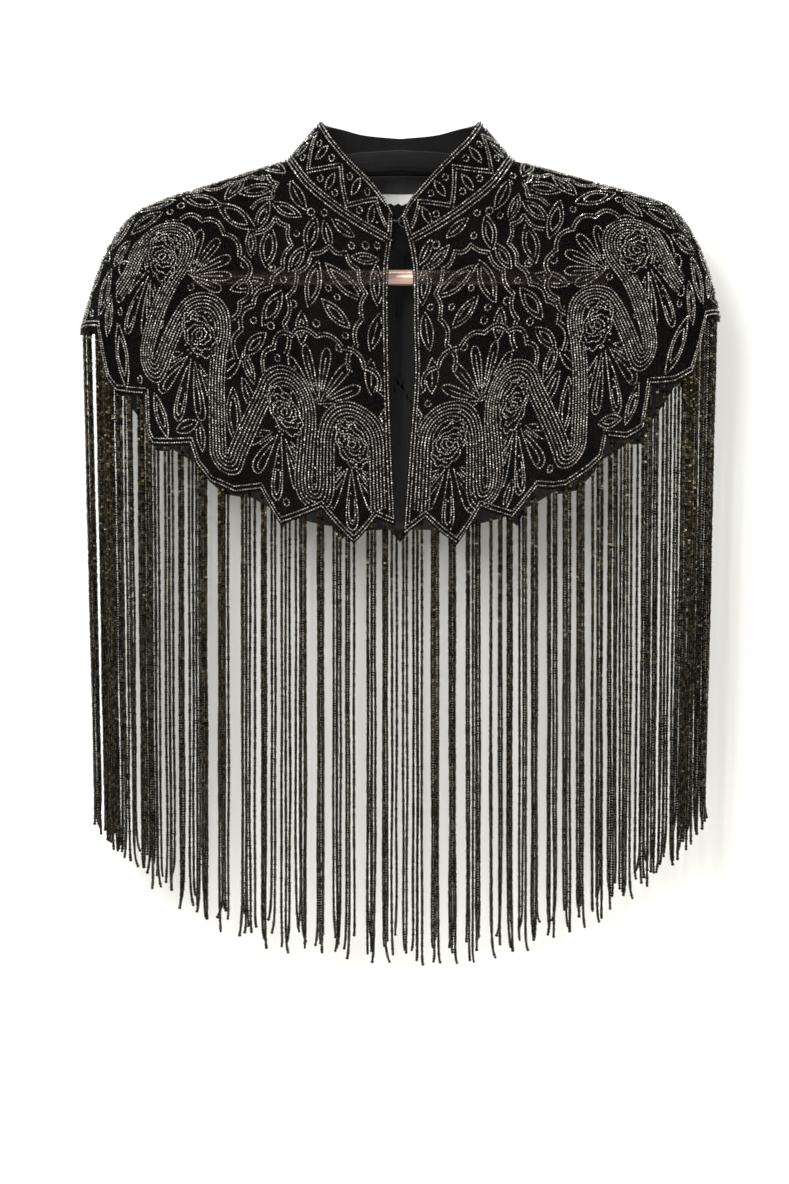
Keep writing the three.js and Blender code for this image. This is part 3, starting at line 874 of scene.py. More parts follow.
def leaf(length, width):
    """A leaf with a point at each end, its middle at the origin."""
    t = np.linspace(0, 1, 26)
    half = width / 2 * np.sin(np.pi * t) ** 0.85
    edge = np.stack([half, length * (0.5 - t)], axis=1)
    return np.concatenate([edge, (edge * (-1, 1))[::-1]])


def turned(line, degrees, across=0.0, down=0.0):
    """A line turned round its origin and then moved."""
    a = math.radians(degrees)
    x, y = line[:, 0], line[:, 1]
    new_x = x * math.cos(a) - y * math.sin(a) + across
    new_y = x * math.sin(a) + y * math.cos(a) + down
    return np.stack([new_x, new_y], axis=1)


def beside(line, gap):
    """A line that runs beside another, on its right-hand side, with square corners kept."""
    steps = unit(np.diff(line, axis=0))
    normals = np.stack([-steps[:, 1], steps[:, 0]], axis=1)
    first = np.concatenate([normals[:1], normals])
    second = np.concatenate([normals, normals[-1:]])
    middle = unit(first + second)
    reach = 1 / np.maximum(0.62, np.sum(middle * first, axis=1, keepdims=True))
    return line + middle * reach * gap


class BeadWork:
    """The beads sewn to one patch. A bead is sewn only where it has room."""

    CELL = 2.0

    def __init__(self, patch, settings, seed):
        self.patch = patch
        self.pitch = settings.pitch / MM
        self.gap = settings.line_gap / MM
        self.random = np.random.default_rng(seed)
        self.cells = {}
        self.beads = []

    def strung(self, line, pitch=None):
        """Places for beads along a line that is given in (u, v)."""
        points, normals, inside = self.patch.on_cloth(line)
        run = run_along(points)
        at = np.arange(0.4 * self.pitch, run[-1], pitch or self.pitch)
        places, outward = sampled(points, run, at), sampled(normals, run, at)
        kept = np.interp(at, run, inside.astype(float)) > 0.5
        ways = np.gradient(places, axis=0) if len(at) > 1 else np.tile([1.0, 0, 0], (len(at), 1))
        return places[kept], unit(outward[kept]), unit(ways[kept] + 1e-9)

    def room_at(self, point, room):
        """Whether every bead sewn so far is at least room away."""
        x, y, z = np.floor(point / self.CELL).astype(int)
        for i, j, k in product((-1, 0, 1), repeat=3):
            for other in self.cells.get((x + i, y + j, z + k), ()):
                a, b, c = point - other
                if a**2 + b**2 + c**2 < room**2:
                    return False
        return True

    def sew(self, line, room=1.72, size=1.0, pitch=None, tone=0.0):
        """Sews beads along a line of (u, v)."""
        lustre = tone + self.random.uniform(-0.05, 0.05)
        for point, normal, way in zip(*self.strung(line, pitch)):
            if not self.room_at(point, room * max(1, size)):
                continue
            self.cells.setdefault(tuple(np.floor(point / self.CELL).astype(int)), []).append(point)
            self.beads.append((point, normal, way, size, lustre))

    def sew_motif(self, u, v, lines, **how):
        """Sews a motif's lines round its middle at (u, v)."""
        for line in lines:
            self.sew(self.patch.local(u, v, line), **how)

    def dot(self, u, v, size=1.5):
        """One larger bead."""
        line = self.patch.local(u, v, np.array([(-0.1, 0.0), (2.0, 0.0)]))
        # Larger beads are sewn lighter in tone: partly a lighter bead colour, partly a painted glint.
        self.sew(line, size=size, pitch=50.0, tone=0.35)

    def clearance(self, points):
        """How far each point is from the nearest bead."""
        placed_beads = np.array([bead[0] for bead in self.beads])
        nearest = np.full(len(points), 1e9)
        for start in range(0, len(points), 200):
            chunk = points[start : start + 200]
            away = ((chunk[:, None, :] - placed_beads[None]) ** 2).sum(axis=2)
            nearest[start : start + 200] = np.sqrt(away.min(axis=1))
        return nearest

    def fill(self, least, count, step=5.0):
        """Fills bare net with small leaves, rings and dots, the barest places first."""
        across, down = step / self.patch.length(0.7), step / self.patch.drop(0.5)
        u, v = np.meshgrid(np.arange(0, 1, across), np.arange(0.02, 1, down))
        places = np.stack([u.ravel(), v.ravel()], axis=1)
        places += self.random.uniform(-0.3, 0.3, places.shape) * (across, down)
        points, _, inside = self.patch.on_cloth(places)
        places, points = places[inside], points[inside]
        clear = self.clearance(points)
        for _ in range(count):
            best = int(np.argmax(clear))
            if clear[best] < least:
                break
            before = len(self.beads)
            self.small_motif(*places[best], clear[best])
            fresh = np.array([bead[0] for bead in self.beads[before:]] or [points[best]])
            away = np.sqrt(((points[:, None, :] - fresh[None]) ** 2).sum(axis=2)).min(axis=1)
            clear = np.minimum(clear, away)
            clear[best] = 0

    def small_motif(self, u, v, clear):
        """A leaf, a ring or a dot, as the room allows."""
        if clear > 7.5:
            length = min(46, 3.1 * clear)
            shapes = [turned(leaf(length, 0.36 * length), angle) for angle in range(0, 180, 22)]
            lines = [self.patch.local(u, v, shape) for shape in shapes]
            scores = [np.sum(np.minimum(self.clearance(self.strung(line)[0]), 4)) for line in lines]
            angle = 22 * int(np.argmax(scores))
            self.sew(lines[angle // 22])
            inner = 0.5 * length
            vein = np.array([(0, inner / 2), (0, -inner / 2)])
            middle = leaf(0.6 * length, 0.36 * length - 5.5) if length > 26 else flowing(vein)
            self.sew_motif(u, v, [turned(middle, angle)])
        elif clear > 5.2:
            self.sew_motif(u, v, [oval(5.4, 5.4)])
            self.dot(u, v)
        else:
            self.dot(u, v, 1.25)


def lobed(points, reach, lift):
    """A flowing line made of lobes, each one reach long and standing out by lift to the right."""
    line = flowing(points, 12)
    run = run_along(line)
    count = max(1, round(run[-1] / reach))
    at = np.linspace(0, run[-1], 40 * count)
    line = sampled(line, run, at)
    ways = unit(np.gradient(line, axis=0))
    out = np.stack([-ways[:, 1], ways[:, 0]], axis=1)
    return line + out * (lift * np.abs(np.sin(np.pi * count * at / run[-1])))[:, None]


# The quarter's plan. Across is in millimetres along the medallions' row, and down is from that row.
MEDALLION_ROW = 0.665
MEDALLIONS = [(35, 8), (99, 3), (196, -10), (268, -31)]
RIBBON_TURNS = [60, 68, 40]
RIBBON_LINES = 6
RIBBON_RADIUS = 23.0
TURN_RADIUS = 9.5
CORE = (26, 40)


def ribbon_path():
    """The middle of the ribbon that arches over each medallion and turns up again between them."""
    x0, y0 = MEDALLIONS[0]
    points = [(x0 - RIBBON_RADIUS, y0 + reach) for reach in (56, 38, 20)]
    for n, (x, y) in enumerate(MEDALLIONS):
        for degrees in range(180, 361, 30):
            a = math.radians(degrees)
            points.append((x + RIBBON_RADIUS * math.cos(a), y + (RIBBON_RADIUS + 4) * math.sin(a)))
        if n == len(RIBBON_TURNS):
            points += [(x + RIBBON_RADIUS + lean, y + reach) for lean, reach in ((-2, 18), (-4, 36), (0, 54))]
            break
        following, low = MEDALLIONS[n + 1], RIBBON_TURNS[n]
        middle = (x + following[0]) / 2
        left, right = x + RIBBON_RADIUS, following[0] - RIBBON_RADIUS
        for share in (0.36, 0.7):
            points.append((mix(left, middle - TURN_RADIUS, share), mix(y, low - 14, share)))
        points += [(middle - TURN_RADIUS, low - 13), (middle - 0.72 * TURN_RADIUS, low - 3.2), (middle, low)]
        points += [(middle + 0.72 * TURN_RADIUS, low - 3.2), (middle + TURN_RADIUS, low - 13)]
        for share in (0.7, 0.36):
            points.append((mix(right, middle + TURN_RADIUS, share), mix(following[1], low - 14, share)))
    return flowing(points, 12)


def sew_borders(work, q):
    """Two lines along the edge and the scalloped hem, and one along the neck seam."""
    patch = work.patch
    around = quarter_corners(q)
    v = q.hem_down(around)
    u = np.array([patch.u_at(a, d) for a, d in zip(around, v)])
    corners = np.stack([u * patch.length(1), v * MERIDIAN], axis=1)
    corners = corners[np.argsort(corners[:, 0])]
    for n in range(2):
        inset = 1.5 + n * work.gap
        hem = beside(corners, -inset)
        line = np.concatenate([np.linspace(a, b, 24, endpoint=False) for a, b in zip(hem, hem[1:])])
        work.sew(line / (patch.length(1), MERIDIAN))
        down = np.linspace(0, 1, 200)
        if q.front:
            work.sew(np.stack([inset / patch.length(down), down], axis=1))
    across = np.linspace(0, 1, 200)
    work.sew(np.stack([across, np.full(200, 1.7 / MERIDIAN)], axis=1))


def sew_at(work, u, v, across, down, size):
    """A larger bead, placed in millimetres from (u, v)."""
    work.dot(u + across / float(work.patch.length(v)), v + down / MERIDIAN, size)


def sew_medallion(work, u, v, turn):
    """A dense core of lobed rings with larger beads among them."""
    wide, high = CORE
    for n, share in enumerate((1.0, 0.79, 0.58, 0.38, 0.18)):
        ring = oval(wide * share, high * share, lobes=10 - n, lobe=0.15)
        work.sew_motif(u, v, [turned(ring, turn + 23 * n)], tone=0.05)
    for _ in range(110):
        a = work.random.uniform(0, 2 * math.pi)
        r = math.sqrt(work.random.uniform(0, 0.85)) / 2
        sew_at(work, u, v, wide * r * math.cos(a), high * r * math.sin(a), work.random.uniform(1.0, 1.35))


def sew_ribbon(work):
    """The ribbon of parallel lines that runs along the whole quarter."""
    patch = work.patch
    path = ribbon_path()
    for n in range(RIBBON_LINES):
        line = beside(path, (n - (RIBBON_LINES - 1) / 2) * work.gap)
        work.sew(line / (patch.length(MEDALLION_ROW), MERIDIAN) + (0, MEDALLION_ROW))


def sew_drops(work, u, v):
    """Drop petals that hang below a medallion, with scattered beads inside them."""
    for angle, across, length in ((180, 0, 52), (154, 4, 45), (206, -4, 45), (128, 9, 33), (232, -9, 33)):
        outer = turned(petal(length, 13), angle, across, 21)
        inner = turned(petal(length - 9, 7.0), angle, across, 25)
        work.sew_motif(u, v, [outer, inner])
        for t in np.linspace(0.3, 0.92, 7):
            inside = np.array([(work.random.uniform(-2.2, 2.2) * t, -length * t)])
            x, y = turned(inside, angle, across, 19)[0]
            sew_at(work, u, v, x, y, 1.15)


def sew_palmette(work, u, v, turn, reach, petals):
    """A fan of long petals under a lobed double arch."""
    for n in range(petals):
        spread = 2 * n / (petals - 1) - 1
        length = reach * (1 - 0.3 * spread * spread)
        angle = turn + 80 * spread
        work.sew_motif(u, v, [turned(petal(length, 11), angle)])
        work.sew_motif(u, v, [turned(np.linspace((0, -0.25 * length), (0, -0.82 * length), 20), angle)])
    a = np.radians(np.linspace(-116, 116, 12))
    rim = np.stack([(reach + 5) * np.sin(a), -(reach + 5) * np.cos(a)], axis=1)
    arch = lobed(rim[::-1], 25, 5.0)
    for n in range(2):
        work.sew_motif(u, v, [turned(beside(arch, n * work.gap), turn)])


def sew_leaf(work, u, v, length, width, angle):
    """A leaf with a smaller leaf or a vein inside it."""
    work.sew_motif(u, v, [turned(leaf(length, width), angle)])
    if width > 11:
        work.sew_motif(u, v, [turned(leaf(length - 13, width - 6.6), angle)])
    else:
        work.sew_motif(u, v, [turned(np.linspace((0, 0.3 * length), (0, -0.3 * length), 16), angle)])


def sew_ring(work, u, v):
    """A small ring with a bead in its middle."""
    work.sew_motif(u, v, [oval(6.4, 6.4)])
    work.dot(u, v)


def sew_frame(work, points):
    """Two lobed lines through places given in (u, v)."""
    scale = (work.patch.length(0.35), MERIDIAN)
    middle = lobed(np.array(points) * scale, 23, 4.5)
    for n in range(2):
        work.sew(beside(middle, n * work.gap) / scale)


# The upper part of a quarter, which the frames divide. Leaves: u, v, length, width, turn. Rings: u, v.
FRAMES = [
    [
        (0.115, 0.47), (0.10, 0.33), (0.10, 0.18), (0.22, 0.10),
        (0.36, 0.13), (0.41, 0.26), (0.385, 0.40), (0.33, 0.52),
    ],
    [(0.45, 0.62), (0.47, 0.47), (0.45, 0.31), (0.49, 0.17), (0.61, 0.14), (0.64, 0.24)],
    [(0.72, 0.20), (0.70, 0.10), (0.80, 0.07), (0.90, 0.14), (0.93, 0.27), (0.99, 0.36)],
]
LEAVES = [
    (0.20, 0.20, 46, 16, 78), (0.325, 0.26, 44, 15, 8), (0.205, 0.31, 34, 13, 70), (0.305, 0.41, 30, 12, 24),
    (0.055, 0.16, 38, 12, 8), (0.05, 0.32, 36, 11, -8), (0.055, 0.47, 32, 11, 6), (0.435, 0.12, 34, 13, 18),
    (0.42, 0.55, 30, 12, -24), (0.555, 0.25, 40, 15, 26), (0.53, 0.40, 34, 13, -34), (0.62, 0.05, 32, 11, 70),
    (0.79, 0.15, 36, 13, -24), (0.86, 0.21, 30, 12, 24), (0.96, 0.14, 34, 12, 4), (0.955, 0.47, 36, 13, -14),
    (0.955, 0.62, 36, 12, 8), (0.91, 0.80, 40, 14, 10), (0.975, 0.80, 34, 11, -10), (0.30, 0.04, 26, 9, 84),
    (0.43, 0.78, 44, 14, 16), (0.465, 0.66, 30, 11, -30), (0.40, 0.70, 28, 10, 44), (0.865, 0.62, 30, 11, 10),
]
RINGS = [
    (0.27, 0.19), (0.26, 0.37), (0.17, 0.41), (0.36, 0.36), (0.50, 0.30), (0.58, 0.35), (0.40, 0.47),
    (0.50, 0.50), (0.74, 0.14), (0.84, 0.11), (0.15, 0.05), (0.50, 0.06), (0.90, 0.40), (0.70, 0.04),
]
ZIGZAGS = 11


def sew_quarter(q, settings):
    """All the embroidery of one quarter."""
    patch = quarter_patch(q)
    work = BeadWork(patch, settings, q.strands_from)
    sew_borders(work, q)
    row_length = float(patch.length(MEDALLION_ROW))
    middles = [(x / row_length, MEDALLION_ROW + y / MERIDIAN) for x, y in MEDALLIONS]
    for n, (u, v) in enumerate(middles):
        sew_medallion(work, u, v, 20 * n + work.random.uniform(0, 40))
    sew_ribbon(work)
    for u, v in middles:
        sew_drops(work, u, v)
    for pair, turn, reach in (((0, 1), 2, 50), ((2, 3), 10, 43)):
        (u1, v1), (u2, v2) = (middles[k] for k in pair)
        sew_palmette(work, (u1 + u2) / 2, (v1 + v2) / 2 - 21 / MERIDIAN, turn, reach, 7)
    for points in FRAMES:
        sew_frame(work, points)
    for u, v, length, width, angle in LEAVES:
        sew_leaf(work, u, v, length, width, angle + work.random.uniform(-6, 6))
    for u, v in RINGS:
        sew_ring(work, u + work.random.uniform(-0.004, 0.004), v)
    work.fill(6.6, 60)
    return work


def quarter_patch(q):
    """The net of one quarter."""
    first = 2 * q.sign if q.front else 0
    last = q.sign * (1 + SEAM_AROUND if q.front else 1 - SEAM_AROUND)
    margin = 0.6 / MERIDIAN

    def top(around):
        return np.full(np.shape(around), TOP_DOWN)

    return Patch(cloth, first, last, top, lambda around: q.hem_down(around) - margin)


def collar_patch():
    """The net of the stand collar."""

    def top(around):
        return collar_top(around) + 0.012

    def seam(around):
        return np.full(np.shape(around), 0.985)

    return Patch(collar_cloth, -2, 2, top, seam)


def sew_collar(settings):
    """The stand collar: bordered all round, with a zigzag band and leaves in its points."""
    patch = collar_patch()
    work = BeadWork(patch, settings, 900)
    u = np.linspace(0, 1, 700)
    for n in range(2):
        inset = 1.4 + n * work.gap
        drop = patch.drop(u)
        around = patch.look(patch.around, u, np.full(len(u), 0.1))
        work.sew(np.stack([u, collar_top(around) + inset / drop], axis=1))
        work.sew(np.stack([u, 1 - (inset + 0.4) / drop], axis=1))
        v = np.linspace(0, 1, 60)
        for end in (inset / patch.length(v), 1 - inset / patch.length(v)):
            work.sew(np.stack([end, v], axis=1))
    corners = [(n / (2 * ZIGZAGS), 0.24 if n % 2 else 0.8) for n in range(2 * ZIGZAGS + 1)]
    scale = (patch.length(0.5), COLLAR_HEIGHT)
    rough = np.array(corners) * scale
    for n in range(2):
        line = beside(rough, (n - 0.5) * work.gap)
        fine = np.concatenate([np.linspace(a, b, 30, endpoint=False) for a, b in zip(line, line[1:])])
        work.sew(fine / scale)
    for n in range(2 * ZIGZAGS + 1):
        u = n / (2 * ZIGZAGS)
        v = 0.64 if n % 2 else 0.36
        lean = 14 * (work.random.uniform() - 0.5)
        work.sew_motif(u, v, [turned(leaf(17, 6.5), lean)])
        work.dot(u, v)
    work.fill(4.6, 160, step=3.0)
    return work


def bead_cut(sides, rings):
    """The faces of one bead, its hole along Z, as points and triangles."""
    bm = bmesh.new()
    bmesh.ops.create_uvsphere(bm, u_segments=sides, v_segments=rings, radius=1.0)
    bmesh.ops.triangulate(bm, faces=bm.faces[:])
    points = np.array([v.co[:] for v in bm.verts])
    faces = np.array([[v.index for v in f.verts] for f in bm.faces])
    bm.free()
    return points, faces


def bead_mesh(name, cut, middles, ways, normals, lengths, widths, tones, seed):
    """Copies of one cut bead, joined in a mesh that keeps each bead's tone."""
    points, faces = cut
    count = len(middles)
    side = unit(np.cross(normals, ways))
    up = unit(np.cross(ways, side))
    roll = np.random.default_rng(seed).uniform(0, 2 * math.pi, (count, 1))
    x_way = side * np.cos(roll) + up * np.sin(roll)
    y_way = up * np.cos(roll) - side * np.sin(roll)
    half_length, half_width = (np.asarray(size)[:, None, None] / 2 for size in (lengths, widths))
    local = points[None]
    placed_points = (
        middles[:, None, :]
        + local[..., 0:1] * half_width * x_way[:, None, :]
        + local[..., 1:2] * half_width * y_way[:, None, :]
        + local[..., 2:3] * half_length * ways[:, None, :]
    )
    all_faces = (faces[None] + (np.arange(count) * len(points))[:, None, None]).reshape(-1, 3)
    mesh = bpy.data.meshes.new(name)
    mesh.vertices.add(count * len(points))
    mesh.vertices.foreach_set("co", (placed_points * MM).astype(np.float32).ravel())
    mesh.loops.add(all_faces.size)
    mesh.loops.foreach_set("vertex_index", all_faces.astype(np.int32).ravel())
    mesh.polygons.add(len(all_faces))
    mesh.polygons.foreach_set("loop_start", np.arange(0, all_faces.size, 3, dtype=np.int32))
    mesh.update(calc_edges=True)
    attribute = mesh.attributes.new("tone", "FLOAT", "POINT")
    attribute.data.foreach_set("value", np.repeat(tones, len(points)).astype(np.float32))
    return mesh


def embroidery_mesh(name, work, settings, seed):
    """The sewn beads of one patch as a mesh."""
    points, normals, ways, sizes, lustre = (np.array(column, float) for column in zip(*work.beads))
    random = np.random.default_rng(seed)
    width = settings.width / MM * sizes * random.uniform(0.93, 1.06, len(sizes))
    length = np.where(sizes > 1.1, width, settings.pitch / MM * 0.96)
    tones = np.clip(random.beta(1.6, 1.9, len(sizes)) + lustre, 0, 1)
    lifted = points + normals * (0.36 * width)[:, None]
    return bead_mesh(name, bead_cut(4, 2), lifted, ways, normals, length, width, tones, seed)


def strand_roots(q, taken):
    """Where the strands of one quarter are sewn on, as in the CAD part."""
    steps = 1200
    t = np.arange(0, steps) / steps
    around = q.sign * (2 - t if q.front else t)
    around[0] = 2 * q.sign if q.front else 0.0
    line = cloth(around, np.ones(steps))
    run = run_along(line)
    down = q.hem_down(around) - 0.4 * TAPE_HEIGHT / MERIDIAN
    points, normals = placed(cloth, around, down)
    points = points - normals * (NET + 2 * SEAM + TAPE / 2)
    roots = []
    following = 2.5
    size = 1
    left = 0
    for i in range(1, steps):
        if run[i] < following:
            continue
        point = points[i]
        near = any(math.hypot(r[0] - point[0], r[1] - point[1]) < STRAND_CLUMP_SPACING for r in taken)
        if near or abs(point[1]) < STRAND_RADIUS + SEAM:
            continue
        taken.append(point)
        roots.append(point)
        if left > 0:
            following = run[i] + STRAND_CLUMP_SPACING
            left -= 1
            continue
        seed = q.strands_from + len(roots)
        spacing = mix(STRAND_SPACING, STRAND_SIDE_SPACING, smooth(150, 200, abs(point[0])))
        gap = spacing * size - STRAND_CLUMP_SPACING * (size - 1)
        following = run[i] + gap * mix(0.8, 1.2, chance(seed))
        size = STRAND_CLUMPS[int(chance(seed + 0.5) * len(STRAND_CLUMPS))]
        left = size - 1
    return roots


def strand_lines(roots, first_number):
    """Each strand hangs plumb from its root to an uneven tip."""
    made = []
    for i, root in enumerate(roots):
        reach = abs(root[0]) / HALF_WIDTH
        ragged = 16 * (chance(first_number + i + 0.75) - 0.5)
        tip = -FRINGE_DROP + FRINGE_RISE * reach**FRINGE_RISE_POWER + ragged
        made.append(np.array([root, (root[0] * (1 - 0.04 * reach**4), root[1], tip)]))
    return made


def fringe_mesh(name, strands, settings, seed):
    """Every bead of one quarter's strands."""
    random = np.random.default_rng(seed)
    pitch = settings.pitch / MM
    middles, ways, shades = [], [], []
    for rows in strands:
        run = run_along(rows)
        at = np.arange(0, run[-1] - pitch / 2, pitch)
        line = sampled(rows, run, at)
        share = at / run[-1]
        left = run[-1] - at
        wave = random.uniform(0.5, 1.3) * settings.sway / MM
        phase = random.uniform(0, 6.3, 4)
        drift = np.sin(at / 47 + phase[0]) + 0.5 * np.sin(at / 19 + phase[1])
        depth_drift = np.sin(at / 39 + phase[2]) + 0.5 * np.sin(at / 23 + phase[3])
        curl = random.normal(0, 0.6) * settings.curl / MM * np.exp(-left / 11)
        hook = random.normal(0, 0.4) * settings.curl / MM * np.exp(-left / 5)
        fixed = smooth(0, 0.12, share)
        line[:, 0] += drift * wave * fixed * (0.4 + share) + curl - hook
        line[:, 1] += 0.4 * depth_drift * wave * fixed
        middles.append(line)
        ways.append(unit(np.gradient(line, axis=0)))
        shades.append(np.full(len(line), random.uniform(-0.08, 0.08)))
    middles, ways, shades = np.concatenate(middles), np.concatenate(ways), np.concatenate(shades)
    count = len(middles)
    widths = settings.width / MM * random.uniform(0.9, 1.05, count)
    lengths = np.full(count, pitch * 1.3)
    tones = np.clip(random.beta(1.0, 3.6, count) + shades, 0, 1)
    # Painted glint: a few beads get the highest tones, which the finish paints paler.
    glint_mask = random.uniform(size=count) < 0.03
    tones[glint_mask] = random.uniform(0.85, 1.0, glint_mask.sum())
    normals = np.tile([0.0, -1.0, 0.0], (count, 1))
    return bead_mesh(name, bead_cut(4, 3), middles, ways, normals, lengths, widths, tones, seed)


def declared_sheet(patch, whole):
    """Works out a sheet's width, length and area, but neither keeps nor returns them. whole is how many
    patches the cut has.
    """
    width = float(np.max(patch.lengths)) * whole * MM
    length = float(np.max(patch.drops)) * MM
    area = min(patch.area() * whole, 0.98 * width * length)


class CAPE_OT_fringe(bpy.types.Operator):
    """Hang the bead strands inside the hem"""

    bl_idname = "cape.fringe"
    bl_label = "Bead Fringe"

    def execute(self, context):
        settings = context.scene.cape_fringe
        finish = bead_finish("fringe_glass", settings.dark, settings.light, 0.26, 0.85, 0.35)
        tape_finish = satin_finish("hem_tape", context.scene.cape_cloth.satin_colour, 0.6)
        taken = []
        for q in QUARTERS:
            strands = strand_lines(strand_roots(q, taken), q.strands_from)
            name = f"{q.name}_strands"
            mesh = fringe_mesh(name, strands, settings, q.strands_from)
            as_piece(mesh, name, finish, [f"fringe_{q.name}"], smooth_faces=False)
            columns = columns_of(quarter_corners(q), 0.02)
            columns = np.where(np.abs(columns) < SEAM_AROUND, q.sign * SEAM_AROUND, columns)

            def tape(around, share, q=q):
                down = q.hem_down(around) - mix(TAPE_HEIGHT, 0.8, share) / MERIDIAN
                points, normals = placed(cloth, around, down)
                return points - normals * (NET + SEAM + 0.4)

            bm = shell(columns, 1, tape, 0.0008)
            as_piece(bm, f"{q.name}_hem_tape", tape_finish)
        return {"FINISHED"}


class CAPE_OT_embroidery(bpy.types.Operator):
    """Sew the beads of the fronts, the back and the collar"""

    bl_idname = "cape.embroidery"
    bl_label = "Bead Embroidery"

    def execute(self, context):
        settings = context.scene.cape_beads
        finish = bead_finish("gunmetal_glass", settings.dark, settings.light, 0.24, 0.72)
        for q in QUARTERS:
            work = sew_quarter(q, settings)
            name = f"{q.name}_beads"
            mesh = embroidery_mesh(name, work, settings, q.strands_from + 1)
            as_piece(mesh, name, finish, smooth_faces=False)
        mesh = embroidery_mesh("collar_beads", sew_collar(settings), settings, 901)
        as_piece(mesh, "collar_beads", finish, smooth_faces=False)
        return {"FINISHED"}


class CAPE_OT_net(bpy.types.Operator):
    """Cut and hang the net of the fronts, the back and the collar"""

    bl_idname = "cape.net"
    bl_label = "Black Net"

    def execute(self, context):
        settings = context.scene.cape_cloth
        finish = net_finish(settings)
        rows = round(MERIDIAN * MM / settings.net_step)
        step = settings.net_step / MM / 200

        def panel(around, share):
            hem = np.zeros(np.shape(around))
            for q in QUARTERS:
                mine = q.owns(around)
                hem[mine] = q.hem_down(around[mine])
            return cloth(around, mix(TOP_DOWN, hem, share))

        cuts = {
            "front_left": [FRONT_LEFT],
            "front_right": [FRONT_RIGHT],
            "back": [BACK_LEFT, BACK_RIGHT],
        }
        for name, quarters in cuts.items():
            corners = np.unique(np.concatenate([quarter_corners(q) for q in quarters]))
            bm = shell(columns_of(corners, step), rows, panel, settings.net_thickness)
            piece = as_piece(bm, f"{name}_net", finish, [name])
            parts = product([q.name for q in quarters], ("beads", "strands", "hem_tape"))
            with_pieces = [bpy.data.objects["_".join(part)] for part in parts]
            patch = quarter_patch(quarters[0])
            declared_sheet(patch, len(quarters))

        def stand(around, share):
            return collar_cloth(around, mix(collar_top(around), 0.993, share))

        bm = shell(np.linspace(-2, 2, 190), 10, stand, settings.net_thickness)
        piece = as_piece(bm, "collar_net", finish, ["collar"])
        declared_sheet(collar_patch(), 1)
        return {"FINISHED"}


class CAPE_OT_satin(bpy.types.Operator):
    """Line the back and face the collar with black satin"""

    bl_idname = "cape.satin"
    bl_label = "Satin Lining"

    def execute(self, context):
        settings = context.scene.cape_cloth
        finish = satin_finish("black_satin", settings.satin_colour, 0.42)
        side = LINING_SIDE
        hem = 1 - LINING_RISE / MERIDIAN
        fold = settings.fold_depth / MM

        def folds(around, share):
            soft = np.sin(around * 19 + 1.2 * np.sin(share * 4)) + 0.5 * np.sin(around * 41 + share * 3)
            seam = -1.1 * np.exp(-((around / 0.008) ** 2))
            return fold * (0.5 * soft * np.clip(share * 1.6, 0, 1) + seam)

        def hung(around, share):
            down = mix(TOP_DOWN, hem, share)
            points, normals = placed(cloth, around, down)
            inside = lining_offset(around, down) + 0.2 + folds(around, share) * share
            return points - normals * inside[:, None]

        near_seam = np.linspace(-0.03, 0.03, 13)
        columns = columns_of(np.concatenate([np.linspace(-side, side, 150), near_seam]), 0.02)
        bm = shell(np.unique(np.round(columns, 5)), 44, hung, settings.satin_thickness)
        piece = as_piece(bm, "back_lining_satin", finish, ["back_lining"])
        patch = Patch(cloth, -side, side, np.zeros_like, np.ones_like)
        declared_sheet(patch, 1)

        def facing(around, share):
            down = mix(collar_top(around) + 0.004, 0.993, share)
            points, normals = placed(collar_cloth, around, down)
            seam = 0.5 * np.exp(-(((share - 0.8) / 0.03) ** 2))
            return points - normals * (NET + SEAM + seam)[:, None]

        # Painted shade: the collar facing is a darker copy of the lining's satin, for the shade inside the
        # collar.
        painted_shade_satin = tuple(0.32 * c for c in settings.satin_colour)
        finish = satin_finish("facing_satin", painted_shade_satin, 0.72, 0.1)
        bm = shell(np.linspace(-2, 2, 190), 16, facing, settings.satin_thickness)
        piece = as_piece(bm, "collar_facing_satin", finish, ["collar_facing"])

        # Painted shade: a black satin sheet hung in the neck opening, behind the hook and eye, stands in for
        # the shade there.
        def painted_shade_sheet(across, share):
            height = mix(SHADE_SHEET_TOP, SHADE_SHEET_BOTTOM, share) - 0.8 * np.sin(across * 0.9) * (1 - share)
            lean = COLLAR_LEAN * (height + 89) / 30
            bulge = 7.2 * (1 - (across / SHADE_SHEET_HALF_WIDTH) ** 2)
            depth = NECK_DEPTH - lean - NET - SEAM - 1.3 - bulge
            return np.stack([across, -depth, height], axis=-1)

        columns = np.linspace(-SHADE_SHEET_HALF_WIDTH, SHADE_SHEET_HALF_WIDTH, 33)
        bm = shell(columns, 20, painted_shade_sheet, settings.satin_thickness)
        painted_shade_colour = tuple(0.12 * c for c in settings.satin_colour)
        shade_sheet_piece = as_piece(bm, "neck_tab", satin_finish("tab_thread", painted_shade_colour, 0.8, 0.08))
        declared_sheet(collar_patch(), 1)
        return {"FINISHED"}


class CAPE_OT_label(bpy.types.Operator):
    """Sew the plain woven label to the lining, below the back neck seam"""

    bl_idname = "cape.label"
    bl_label = "Neck Label"

    def execute(self, context):

        def sewn(around, share):
            down = mix(LABEL_TOP, LABEL_BOTTOM, share)
            points, normals = placed(cloth, around, down)
            puff = 0.35 * np.sin(np.pi * share) * (1 - (around / LABEL_HALF) ** 4)
            return points - normals * (lining_offset(around, down) + SATIN + SEAM + puff)[:, None]

        bm = shell(np.linspace(-LABEL_HALF, LABEL_HALF, 41), 16, sewn, 0.0005)
        finish = label_finish(context.scene.cape_cloth.label_colour)
        piece = as_piece(bm, "neck_label_tape", finish, ["neck_label"])
        return {"FINISHED"}


